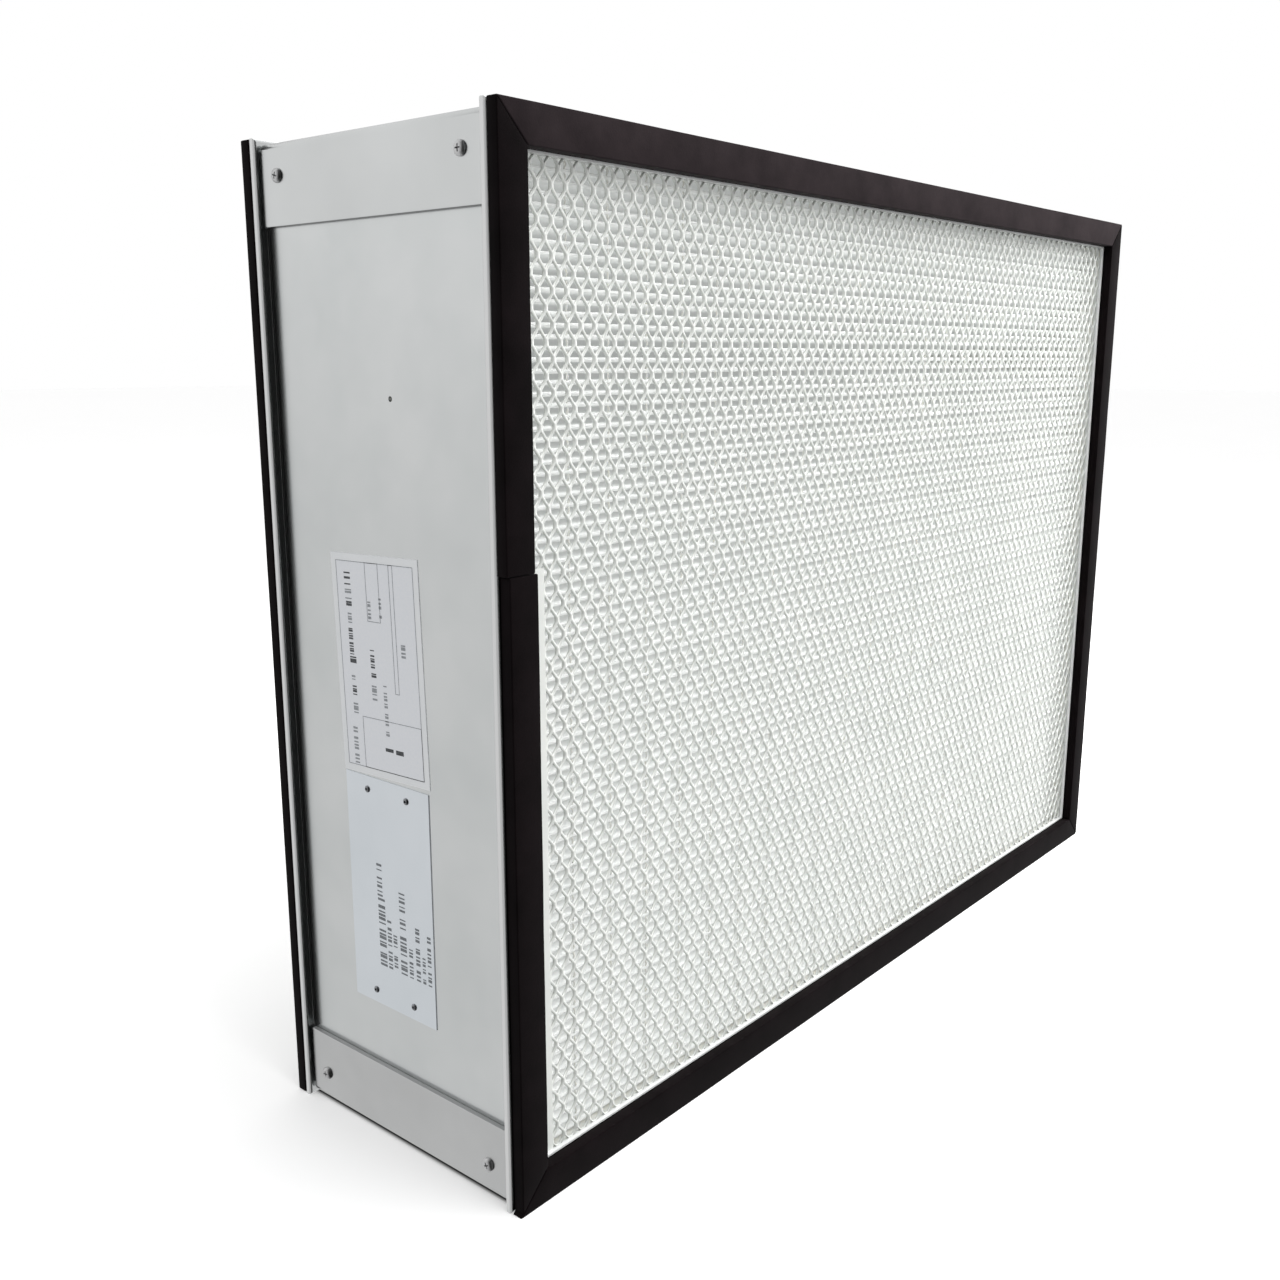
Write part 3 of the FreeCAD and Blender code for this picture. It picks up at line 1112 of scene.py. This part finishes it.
    def front(self) -> Piece:
        """Models the front guard.

        Returns:
            The guard, with its strands where its solid is.
        """
        low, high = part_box("guard_front")
        middle = (low + high) / 2
        depth = 2 * self.crown + self.strand_depth
        strands = self.cell(middle.y - depth / 2 * MM)
        with editing(strands, Part.FACES):
            half_step = {"value": millimetres(self.pitch_x / 2, 0, self.pitch_z / 2)}
            bpy.ops.mesh.duplicate_move(TRANSFORM_OT_translate=half_step)
        repeat(strands, self.columns, millimetres(self.pitch_x, 0, 0))
        repeat(strands, self.row_pairs, millimetres(0, 0, self.pitch_z))
        reach_x = (self.columns - 0.5) * self.pitch_x / 2
        reach_z = (self.row_pairs - 0.5) * self.pitch_z / 2
        with editing(strands, Part.EDGES):
            bpy.ops.mesh.remove_doubles(threshold=self.weld * MM)
            shift(Vector((-reach_x * MM, 0, middle.z - reach_z * MM)))
            bpy.ops.mesh.select_all(action="DESELECT")
            bpy.ops.mesh.select_non_manifold()
            bpy.ops.mesh.bridge_edge_loops()
            face_out()
        on_bench(strands)
        bpy.ops.object.shade_smooth()
        rim = self.rim(middle.y - self.rim_depth / 2 * MM)
        return joined([strands, rim, self.margin()], "guard_mesh_front")

    def build(self) -> None:
        """Builds and dresses the guards of both faces."""
        coat = PowderCoat().make()
        front = self.front()
        rear = mirrored_to_rear(front, "guard_mesh_rear")
        finish_piece(front, coat, "guard", "guard_front")
        finish_piece(rear, coat, "guard", "guard_rear")


@dataclass
class PleatedPack:
    """The folded paper: straight legs between round tips, gently wavy along the folds."""

    paper: float = 0.45
    tip_radius: float = 0.75
    pitch: float = 4.58
    tip_steps: int = 4
    cuts_along: int = 29
    wave: float = 0.7
    wave_size: float = 70.0

    def one_fold(self, low: Vector, high: Vector, pitch: float) -> Piece:
        """Models one fold, from the middle of one rear tip to the middle of the next.

        Args:
            low: The pack's lowest corner.
            high: The pack's highest corner.
            pitch: From one fold to the next, in metres.

        Returns:
            The fold.
        """
        radius = self.tip_radius * MM
        rear = high.y - self.paper / 2 * MM - radius
        climb = pitch / 2 - 2 * radius
        half_steps = self.tip_steps // 2
        bpy.ops.mesh.primitive_plane_add(size=1.0, location=(0, 0, 0))
        bpy.context.active_object.scale = (high.x - low.x, 1, 1)
        fold = named("paper_fold")
        with editing(fold, Part.POINTS):
            pick(fold, Part.POINTS, lambda point: point.co.y > 0)
            bpy.ops.mesh.delete(type="VERT")
            everything()
            start = bmesh.from_edit_mesh(fold.data).verts[:][0].co.y
            shift(Vector((0, rear + radius - start, 0)))
            self.turn_tip(Vector((0, rear, 0)), -math.pi / 2, half_steps)
            pull_edges(Vector((0, -2 * rear, climb)))
            self.turn_tip(Vector((0, -rear, climb + 2 * radius)), math.pi, self.tip_steps)
            pull_edges(Vector((0, 2 * rear, climb)))
            self.turn_tip(Vector((0, rear, pitch)), -math.pi / 2, half_steps)
        return fold

    def turn_tip(self, centre: Vector, angle: float, steps: int) -> None:
        """Turns the paper's selected edge about the middle of a tip."""
        bpy.ops.mesh.spin(steps=steps, angle=angle, center=centre, axis=(1, 0, 0))

    def build(self) -> None:
        """Builds and dresses the pack."""
        low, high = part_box("pleated_pack")
        count = round((high.z - low.z) / (self.pitch * MM))
        pitch = (high.z - low.z - self.paper * MM) / count
        pack = self.one_fold(low, high, pitch)
        with editing(pack, Part.EDGES):
            pick(pack, Part.EDGES, self.runs_along)
            bpy.ops.mesh.subdivide(number_cuts=self.cuts_along)
        repeat(pack, count, Vector((0, 0, pitch)))
        with editing(pack, Part.POINTS):
            shift(Vector((0, 0, low.z + self.paper / 2 * MM)))
            face_out()
        ripple(pack, "Z", self.wave_size, self.wave)
        thicken(pack, self.paper, 0)
        smooth(pack, 60)
        pack.name = "pleated_paper"
        finish_piece(pack, FilterPaper().make(), "pack", "pleated_pack")

    @staticmethod
    def runs_along(edge: bmesh.types.BMEdge) -> bool:
        """Tells whether an edge runs along the fold."""
        first, second = edge.verts
        return abs(first.co.x - second.co.x) > 0.1


@dataclass
class SpacerThreads:
    """The hot-melt threads: each swells over the tips of the folds and dips between them."""

    radius: float = 0.55
    waist: float = 0.7
    dip: float = 0.9
    sides: int = 6
    spacing: float = 25.4
    pitch: float = 4.58
    wave: float = 0.7
    wave_size: float = 24.0

    def front(self) -> Piece:
        """Models the threads of the front face.

        Returns:
            All threads of the face as one piece.
        """
        low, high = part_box("spacer_threads_front")
        count = round((high.z - low.z) / (self.pitch * MM))
        pitch = (high.z - low.z) / count
        threads = round((high.x - low.x) / (self.spacing * MM)) + 1
        radius = self.radius * MM
        dip = self.dip * MM
        bpy.ops.mesh.primitive_circle_add(vertices=self.sides, radius=radius)
        thread = named("spacer_thread")
        with editing(thread, Part.EDGES):
            pull_edges(Vector((0, dip, pitch / 2)))
            grow((self.waist, self.waist, 1), Vector((0, dip, 0)))
            pull_edges(Vector((0, -dip, pitch / 2)))
            grow((1 / self.waist, 1 / self.waist, 1), Vector((0, 0, 0)))
        repeat(thread, count, Vector((0, 0, pitch)))
        with editing(thread, Part.EDGES):
            bpy.ops.mesh.select_all(action="DESELECT")
            bpy.ops.mesh.select_non_manifold()
            bpy.ops.mesh.edge_face_add()
            everything()
            shift(Vector((low.x + radius, high.y, low.z)))
            face_out()
        step = (high.x - low.x - 2 * radius) / (threads - 1)
        repeat(thread, threads, Vector((step, 0, 0)), merge=False)
        ripple(thread, "X", self.wave_size, self.wave)
        smooth(thread, 70)
        thread.name = "hot_melt_threads_front"
        return thread

    def build(self) -> None:
        """Builds and dresses the threads of both faces."""
        glue = CastResin("hot_melt", pale="#F7F7F3", deep="#F0F0EB", roughness=0.35).make()
        front = self.front()
        rear = mirrored_to_rear(front, "hot_melt_threads_rear")
        finish_piece(front, glue, "threads", "spacer_threads_front")
        finish_piece(rear, glue, "threads", "spacer_threads_rear")


@dataclass
class Screws:
    """The brackets' screws: pan heads with a cross recess, each turned its own way."""

    inset: float = 16.2
    half_span: float = 58.0
    bracket_face: float = 2.5
    shank_radius: float = 1.95
    shank_length: float = 4.5
    head_radius: float = 3.1
    rim: float = 0.4
    crown: float = 1.25
    crown_steps: int = 5
    crown_reach: float = 0.82
    slot_width: float = 0.8
    slot_length: float = 3.8
    slot_depth: float = 1.2
    slot_taper: float = 0.55
    sides: int = 28
    turn_step: float = 37.0

    def cutter(self, angle: float) -> Piece:
        """Models one bar of the cross recess, tapered towards its bottom.

        Args:
            angle: How far it is turned, in radians.

        Returns:
            The bar, over the crown of the head.
        """
        top = self.rim + self.crown
        bpy.ops.mesh.primitive_cube_add(size=1.0, location=millimetres(0, 0, top))
        bar = bpy.context.active_object
        bar.scale = millimetres(self.slot_length, self.slot_width, 2 * self.slot_depth)
        bar.rotation_euler = (0, 0, angle)
        bar = named("recess_bar")
        with editing(bar, Part.FACES):
            pick(bar, Part.FACES, lambda face: face.normal.z < -0.5)
            grow((self.slot_taper, self.slot_taper, 1))
        return bar

    def one(self) -> Piece:
        """Models one screw, with its head up and the underside of the head at the origin.

        Returns:
            The screw.
        """
        bpy.ops.mesh.primitive_circle_add(
            vertices=self.sides, radius=self.shank_radius * MM, fill_type="NGON", location=(0, 0, 0)
        )
        screw = named("pan_screw")
        widen = self.head_radius / self.shank_radius
        with editing(screw, Part.FACES):
            shift(millimetres(0, 0, -self.shank_length))
            for climb, size in ((self.shank_length, 1.0), (0.0, widen), (self.rim, 1.0)):
                pull_faces(millimetres(0, 0, climb))
                grow((size, size, 1))
            self.crown_over()
            face_out()
        for angle in (0, math.pi / 2):
            bar = self.cutter(angle)
            work(screw, "BOOLEAN", object=bar, operation="DIFFERENCE")
            bpy.data.objects.remove(bar)
        smooth(screw, 35)
        return screw

    def crown_over(self) -> None:
        """Closes the head with a crown that follows a quarter of an ellipse."""
        height = 0.0
        before = 1.0
        for step in range(1, self.crown_steps + 1):
            angle = step / self.crown_steps * math.pi / 2
            reach = math.cos(angle * self.crown_reach)
            pull_faces(millimetres(0, 0, self.crown * (math.sin(angle) - height)))
            grow((reach / before, reach / before, 1))
            height = math.sin(angle)
            before = reach

    def places(self, corner: str) -> list[tuple[Vector, Triple]]:
        """Finds where the screws of a corner sit, and how they are turned to face outwards.

        Args:
            corner: The corner's name.

        Returns:
            A place and a rotation for each screw.
        """
        up = 1 if corner.startswith("top") else -1
        out = 1 if corner.endswith("right") else -1
        level = cad_high.z if up > 0 else cad_low.z
        edge = cad_high.x if out > 0 else cad_low.x
        inset = self.inset * MM
        face = self.bracket_face * MM
        found = []
        for y in (-self.half_span * MM, self.half_span * MM):
            found.append((Vector((edge - out * face, y, level - up * inset)), (0, out * math.pi / 2, 0)))
            facing = (0 if up > 0 else math.pi, 0, 0)
            found.append((Vector((edge - out * inset, y, level - up * face)), facing))
        return found

    def build(self) -> None:
        """Builds and dresses the screws of every corner."""
        steel = PlatedSteel("nickel_plated_steel", light="#EDEDED", dark="#D2D3D4").make()
        pattern = self.one()
        turn = 0.0
        for corner in CORNERS:
            group = []
            for place, facing in self.places(corner):
                screw = copied(pattern, "screw", Vector((0, 0, 0)))
                screw.rotation_euler = (0, 0, math.radians(turn))
                settle(screw)
                screw.rotation_euler = facing
                screw.location = place
                settle(screw)
                group.append(screw)
                turn += self.turn_step
            whole = joined(group, "pan_screws_" + corner)
            finish_piece(whole, steel, "screws", "bracket_screws_" + corner)
        bpy.data.objects.remove(pattern)


@dataclass
class Rivets:
    """The name plate's blind rivets: low domes with a hollow middle."""

    y_span: float = 26.9
    z_span: float = 99.0
    head_radius: float = 1.6
    head_height: float = 0.7
    shank_radius: float = 0.9
    hole_radius: float = 0.62
    hole_depth: float = 0.9
    sides: int = 20

    def one(self, face_x: float, inside_x: float) -> Piece:
        """Models one rivet about the X axis, with its head on the plate.

        Args:
            face_x: The place of the plate's face, in metres.
            inside_x: The place of the rivet's inner end, in metres.

        Returns:
            The rivet.
        """
        bpy.ops.mesh.primitive_circle_add(
            vertices=self.sides,
            radius=self.shank_radius * MM,
            fill_type="NGON",
            location=(inside_x, 0, 0),
            rotation=(0, -math.pi / 2, 0),
        )
        rivet = named("blind_rivet")
        height = self.head_height
        rim = self.head_radius
        steps = (
            ((inside_x - face_x) / MM, self.shank_radius),
            (0.0, rim),
            (0.3 * height, rim),
            (0.4 * height, 0.82 * rim),
            (0.25 * height, 0.6 * rim),
            (0.05 * height, self.hole_radius + 0.12),
            (-0.1, self.hole_radius),
            (-self.hole_depth, 0.8 * self.hole_radius),
        )
        before = self.shank_radius
        with editing(rivet, Part.FACES):
            for climb, radius in steps:
                pull_faces(millimetres(-climb, 0, 0))
                grow((1, radius / before, radius / before))
                before = radius
            face_out()
        smooth(rivet, 50)
        return rivet

    def build(self) -> None:
        """Builds and dresses the four rivets."""
        steel = PlatedSteel("dull_rivet_steel", light="#B4B6B9", dark="#909296").make()
        low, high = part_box("name_plate")
        middle = (low + high) / 2
        pattern = self.one(low.x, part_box("plate_rivets")[1].x)
        group = []
        for y_way in (-0.5, 0.5):
            for z_way in (-0.5, 0.5):
                way = millimetres(0, y_way * self.y_span, z_way * self.z_span)
                way += Vector((0, middle.y, middle.z))
                group.append(copied(pattern, "rivet", way))
        bpy.data.objects.remove(pattern)
        finish_piece(joined(group, "blind_rivets"), steel, "screws", "plate_rivets")


@dataclass(frozen=True)
class Bars:
    """A ladder of level bars, in millimetres right of and above the middle of its sheet."""

    left: float
    right: float
    bottom: float
    top: float
    pitch: float
    share: float


@dataclass
class Print:
    """Plain printed fields: ruled boxes, stripes and bars of ink, cut from thin film."""

    film: float = 0.03
    gap: float = 0.01
    tilt: float = 0.0
    layers: int = 0
    beat: float = 2.4
    swell: float = 0.4
    rest_beat: float = 1.1
    rest_above: float = 0.85

    def field(self, name: str, left: float, right: float, bottom: float, top: float) -> Piece:
        """Adds a flat rectangle that faces left, with its Y running from right to left.

        Args:
            name: The piece's name.
            left: Its left edge, as seen from outside, in millimetres from the middle.
            right: Its right edge.
            bottom: Its lower edge.
            top: Its upper edge.

        Returns:
            The rectangle, about the origin.
        """
        middle = millimetres(0, -(left + right) / 2, (bottom + top) / 2)
        bpy.ops.mesh.primitive_plane_add(size=1.0, location=middle, rotation=(0, -math.pi / 2, 0))
        bpy.context.active_object.scale = ((top - bottom) * MM, (right - left) * MM, 1)
        return named(name)

    def stripes(self, bars: Bars) -> Piece:
        """Prints a ladder of level bars whose widths follow a beat, with a rest here and there.

        Args:
            bars: The ladder.

        Returns:
            The bars.
        """
        sheet = self.field("bars", bars.left, bars.right, bars.bottom, bars.top)
        edges = []
        for step in range(int((bars.top - bars.bottom) / bars.pitch + 0.01)):
            start = bars.bottom + step * bars.pitch
            swell = 1 + self.swell * math.sin(self.beat * step + bars.left)
            if math.sin(self.rest_beat * step + 3 * bars.left) < self.rest_above:
                edges += [start, start + bars.pitch * bars.share * swell]

        def blank(field: bmesh.types.BMFace) -> bool:
            """Tells whether a field lies between the bars."""
            height = field.calc_center_median().z / MM
            return len([edge for edge in edges if edge < height]) % 2 == 0

        with editing(sheet, Part.FACES):
            for edge in edges[1:] if edges[0] == bars.bottom else edges:
                everything()
                bpy.ops.mesh.bisect(plane_co=millimetres(0, 0, edge), plane_no=(0, 0, 1))
            pick(sheet, Part.FACES, blank)
            bpy.ops.mesh.delete(type="FACE")
        return sheet

    def lay(self, pieces: list[Piece], name: str, node: str, ink: Material, slot: str) -> None:
        """Joins printed fields, gives them the thickness of ink and lays them on a node.

        Args:
            pieces: The fields, about the origin.
            name: The name of the print.
            node: The node that carries it.
            ink: The print's material.
            slot: The record's material slot.
        """
        low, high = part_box(node)
        whole = joined(pieces, name)
        thicken(whole, self.film, 1)
        whole.rotation_euler = (math.radians(self.tilt), 0, 0)
        lift = (self.gap + self.layers * (self.gap + self.film)) * MM
        self.layers += 1
        whole.location = (low.x - lift, (low.y + high.y) / 2, (low.z + high.z) / 2)
        settle(whole)
        finish_piece(whole, ink, slot)


@dataclass
class RatingLabel(Print):
    """The paper label: a ruled form with a striped block and plain bars for its lines."""

    tilt: float = -1.8
    half_width: float = 29.5
    half_height: float = 50.25
    margin: float = 3.3
    rule: float = 0.13
    black: tuple[Bars, ...] = (
        Bars(-20.9, -16.6, 41.2, 44.2, 1.5, 0.7),
        Bars(-20.9, -16.6, 36.2, 40.2, 1.3, 0.68),
        Bars(-20.5, -16.6, 25.4, 29.2, 1.25, 0.7),
        Bars(-20.1, -17.2, 4.6, 18.4, 1.15, 0.6),
        Bars(-20.3, -15.9, -0.4, 4.2, 1.15, 0.72),
        Bars(-19.9, -17.0, -14.0, -9.2, 1.2, 0.62),
        Bars(-5.8, -3.0, -1.4, 9.3, 1.3, 0.58),
        Bars(-5.8, -2.4, -5.6, -1.6, 1.3, 0.72),
        Bars(0.9, 6.3, -37.2, -35.6, 1.6, 0.95),
        Bars(8.0, 13.2, -37.6, -35.6, 2.0, 0.95),
    )
    grey: tuple[Bars, ...] = (
        Bars(-20.8, -16.4, 29.8, 36.0, 1.3, 0.62),
        Bars(-19.8, -17.2, 19.0, 25.2, 1.25, 0.6),
        Bars(-20.0, -17.5, -7.0, -3.6, 1.2, 0.5),
        Bars(-20.0, -16.8, -22.4, -16.8, 1.3, 0.66),
        Bars(-21.4, -18.4, -46.0, -27.0, 1.6, 0.5),
        Bars(-6.0, -2.8, -14.7, -6.6, 1.2, 0.66),
        Bars(2.0, 4.2, -30.0, -6.0, 1.6, 0.5),
        Bars(15.8, 18.6, 6.9, 16.9, 1.7, 0.6),
        Bars(-5.4, -3.4, 22.0, 34.0, 1.8, 0.5),
        Bars(2.4, 4.0, 23.0, 33.0, 2.0, 0.5),
    )

    def outlined(self, left: float, right: float, bottom: float, top: float) -> Piece:
        """Draws the outline of a box with a thin line.

        Args:
            left: Its left edge, in millimetres right of the middle.
            right: Its right edge.
            bottom: Its lower edge, in millimetres above the middle.
            top: Its upper edge.

        Returns:
            The outline.
        """
        sheet = self.field("rule", left, right, bottom, top)
        with editing(sheet, Part.FACES):
            bpy.ops.mesh.inset(thickness=2 * self.rule * MM)
            bpy.ops.mesh.delete(type="FACE")
        return sheet

    def build(self) -> None:
        """Dresses the label and prints it: a pale field, dark blocks, and grey rules and lines."""
        dress("rating_label", CoatedPaper().make())
        dark = PrintInk("black_label_ink", full="#3A3C3F", thin="#5A5D60").make()
        grey = PrintInk("grey_label_ink", full="#8D9195", thin="#A4A8AC").make()
        tint = PrintInk("pale_label_tint", full="#EAEDF2", thin="#EEF0F4").make()
        across = self.half_width - self.margin
        up = self.half_height - self.margin
        boxes = (
            (-across, across, -up, up),
            (10.1, 12.9, -10.0, up),
            (-14.0, across, -up, -23.1),
            (-6.0, 3.0, 20.8, up),
        )
        fields = [self.field("tint", -across, across, -up, up)]
        blocks = [self.stripes(bars) for bars in self.black]
        lines = [self.outlined(*box) for box in boxes] + [self.stripes(bars) for bars in self.grey]
        self.lay(fields, "label_tint", "rating_label", tint, "label")
        self.lay(blocks, "label_blocks", "rating_label", dark, "label")
        self.lay(lines, "label_lines", "rating_label", grey, "label")


@dataclass
class NamePlate(Print):
    """The thin riveted plate, with plain bars where its data would stand."""

    grey: tuple[Bars, ...] = (
        Bars(-9.6, -6.0, -1.0, 16.2, 2.1, 0.42),
        Bars(-9.4, -4.6, -35.4, -1.2, 1.9, 0.6),
        Bars(-3.4, -0.6, -35.4, -9.0, 1.9, 0.52),
        Bars(0.6, 3.2, -35.4, -16.0, 1.7, 0.55),
        Bars(5.6, 9.6, -13.0, 7.3, 2.1, 0.42),
        Bars(5.4, 9.8, -35.4, -13.2, 1.9, 0.58),
        Bars(11.4, 14.0, -35.4, -19.0, 1.7, 0.5),
        Bars(16.2, 19.0, -35.4, -6.6, 1.9, 0.55),
        Bars(20.6, 22.6, -35.4, -21.0, 1.7, 0.5),
        Bars(24.2, 26.6, -35.4, -10.4, 1.9, 0.52),
    )

    def build(self) -> None:
        """Dresses the plate and prints it."""
        # The plate's sheared edges get a less metallic colour, painted light in place of a dark reflection.
        sheet = SatinAluminium("anodised_plate", "#E9EEF3", "#E2E8ED", "#D8DEE3", Edges.SHEARED)
        dress("name_plate", sheet.make())
        ink = PrintInk("grey_plate_ink", full="#6E7276", thin="#868A8E").make()
        self.lay([self.stripes(bars) for bars in self.grey], "plate_lines", "name_plate", ink, "plate")


# Camera, floor and lights


@dataclass
class Studio:
    """A plain white floor and soft light, seen from the photograph's place."""

    eye: Triple = (-0.6485, -0.4377, 0.3644)
    turn: Triple = (77.70, 0.0, -49.82)
    lens: float = 36.38
    sensor: float = 36.0
    floor_size: float = 30.0
    floor_glow: float = 0.22
    floor_cloud: float = 400.0
    # Where the painted shade under the box starts and where it is full, in millimetres past its outline.
    shade_start: float = -3.6
    shade_full: float = -5.6
    sky_rise: tuple[float, float] = (-0.12, 0.15)
    soft_rise: tuple[float, float] = (-0.3, 0.3)
    sky_strength: float = 0.93
    low_share: float = 0.82
    soft_high: float = 0.83
    soft_low: float = 0.5
    around: tuple[tuple[float, float], ...] = (
        (0.0, 0.0),
        (0.24, 0.02),
        (0.31, 0.5),
        (0.38, 1.1),
        (0.50, 0.8),
        (0.75, 0.9),
        (0.87, 0.93),
        (0.92, 0.95),
        (0.96, 0.2),
        (1.0, 0.0),
    )
    key_place: Triple = (0.1, -0.8, 2.0)
    key_size: float = 1.4
    key_power: float = 25.0
    fill_place: Triple = (0.95, -0.6, 0.85)
    fill_aim: Triple = (0.2, 0, 0)
    fill_size: float = 0.6
    fill_power: float = 18.0

    def camera(self) -> None:
        """Sets up the camera."""
        data = bpy.data.cameras.new("camera")
        data.lens = self.lens
        data.sensor_width = self.sensor
        data.clip_start = 0.01
        data.clip_end = 100
        eye = bpy.data.objects.new("camera", data)
        eye.location = self.eye
        eye.rotation_euler = [math.radians(angle) for angle in self.turn]
        bpy.context.scene.collection.objects.link(eye)
        bpy.context.scene.camera = eye

    def floor(self) -> None:
        """Lays a matt white floor, with painted shade under the box."""
        bpy.ops.object.select_all(action="DESELECT")
        bpy.ops.mesh.primitive_plane_add(size=self.floor_size)
        floor = named("floor")
        skin = Skin("white_floor")
        white = skin.two_tone(skin.spots(self.floor_cloud), "#F8F8F8", "#FAFAFA")
        # Painted shade: inside the box's outline the floor turns dark grey and its glow goes out.
        inputs = {"Value": past_box(skin.tree, 0, 1)}
        inputs |= {"From Min": self.shade_full * MM, "From Max": self.shade_start * MM}
        outside_painted_shade = add_node(skin.tree, "MapRange", inputs).outputs[0]
        colours = {0: outside_painted_shade, 6: from_hex("#3C3C3C"), 7: white}
        glow = {0: outside_painted_shade, 1: self.floor_glow}
        inputs = {
            "Base Color": add_node(skin.tree, "Mix", colours, data_type="RGBA").outputs[2],
            "Roughness": 0.9,
            "Emission Color": (1, 1, 1, 1),
            "Emission Strength": add_node(skin.tree, "Math", glow, operation="MULTIPLY").outputs[0],
        }
        floor.data.materials.append(skin.finished(inputs))
        floor.visible_glossy = False
        floor.visible_diffuse = False

    def light_around(self, tree: Tree, parts: Node) -> Socket:
        """Gives the room's light round the horizon: bright walls left and behind, a dark one in front.

        Args:
            tree: The world's node tree.
            parts: The node with the direction's parts.

        Returns:
            The socket with the brightness.
        """
        inputs = {0: parts.outputs["Y"], 1: parts.outputs["X"]}
        angle = add_node(tree, "Math", inputs, operation="ARCTAN2").outputs[0]
        inputs = {"Value": angle, "From Min": -math.pi, "From Max": math.pi}
        turn = add_node(tree, "MapRange", inputs).outputs[0]
        ramp = add_node(tree, "ValToRGB", {"Fac": turn})
        stops = ramp.color_ramp.elements
        while len(stops) < len(self.around):
            stops.new(0.5)
        for stop, (place, brightness) in zip(stops, self.around):
            stop.position = place
            stop.color = (brightness, brightness, brightness, 1)
        return ramp.outputs[0]

    def sky(self) -> None:
        """Lights the room: white for the camera, soft all round for matt skins, uneven walls for sheens."""
        world = bpy.data.worlds.new("studio")
        bpy.context.scene.world = world
        world.use_nodes = True
        tree = world.node_tree
        tree.nodes.clear()
        way = add_node(tree, "TexCoord").outputs["Generated"]
        parts = add_node(tree, "SeparateXYZ", {0: way})
        low = self.sky_strength * self.low_share
        strengths = []
        for (start, end), least, most in (
            (self.sky_rise, low, self.sky_strength),
            (self.soft_rise, self.soft_low, self.soft_high),
        ):
            inputs = {"Value": parts.outputs["Z"], "From Min": start, "From Max": end}
            inputs |= {"To Min": least, "To Max": most}
            strengths.append(add_node(tree, "MapRange", inputs).outputs[0])
        white = (1, 1, 1, 1)
        backgrounds = []
        for colour, strength in (
            (self.light_around(tree, parts), strengths[0]),
            (white, strengths[1]),
            (white, 1.0),
        ):
            inputs = {"Color": colour, "Strength": strength}
            backgrounds.append(add_node(tree, "Background", inputs).outputs[0])
        rays = add_node(tree, "LightPath").outputs
        inputs = {0: rays["Is Diffuse Ray"], 1: backgrounds[0], 2: backgrounds[1]}
        seen = add_node(tree, "MixShader", inputs).outputs[0]
        inputs = {0: rays["Is Camera Ray"], 1: seen, 2: backgrounds[2]}
        both = add_node(tree, "MixShader", inputs).outputs[0]
        add_node(tree, "OutputWorld", {"Surface": both})

    def softbox(self, name: str, place: Triple, aim: Vector, size: float, power: float) -> None:
        """Hangs a square soft light.

        Args:
            name: The light's name.
            place: Where it hangs, in metres.
            aim: What it points at.
            size: The length of its side, in metres.
            power: Its power in watts.
        """
        data = bpy.data.lights.new(name, "AREA")
        data.shape = "SQUARE"
        data.size = size
        data.energy = power
        lamp = bpy.data.objects.new(name, data)
        lamp.location = place
        lamp.visible_glossy = False
        lamp.rotation_euler = (aim - Vector(place)).to_track_quat("-Z", "Y").to_euler()
        bpy.context.scene.collection.objects.link(lamp)

    def build(self) -> None:
        """Builds the studio."""
        self.camera()
        self.floor()
        self.sky()
        self.softbox("key_above", self.key_place, MIDDLE, self.key_size, self.key_power)
        aim = MIDDLE + Vector(self.fill_aim)
        self.softbox("fill_right", self.fill_place, aim, self.fill_size, self.fill_power)
        view = bpy.context.scene.view_settings
        view.view_transform = "Standard"
        view.look = "None"


def main() -> None:
    """Builds the whole scene."""
    for whole in (
        Studio(),
        BoxFrame(),
        Gaskets(),
        MeshGuard(),
        PleatedPack(),
        SpacerThreads(),
        Screws(),
        RatingLabel(),
        NamePlate(),
        Rivets(),
    ):
        whole.build()
        log.info("%s is done", type(whole).__name__)


if __name__ == "__main__":
    main()
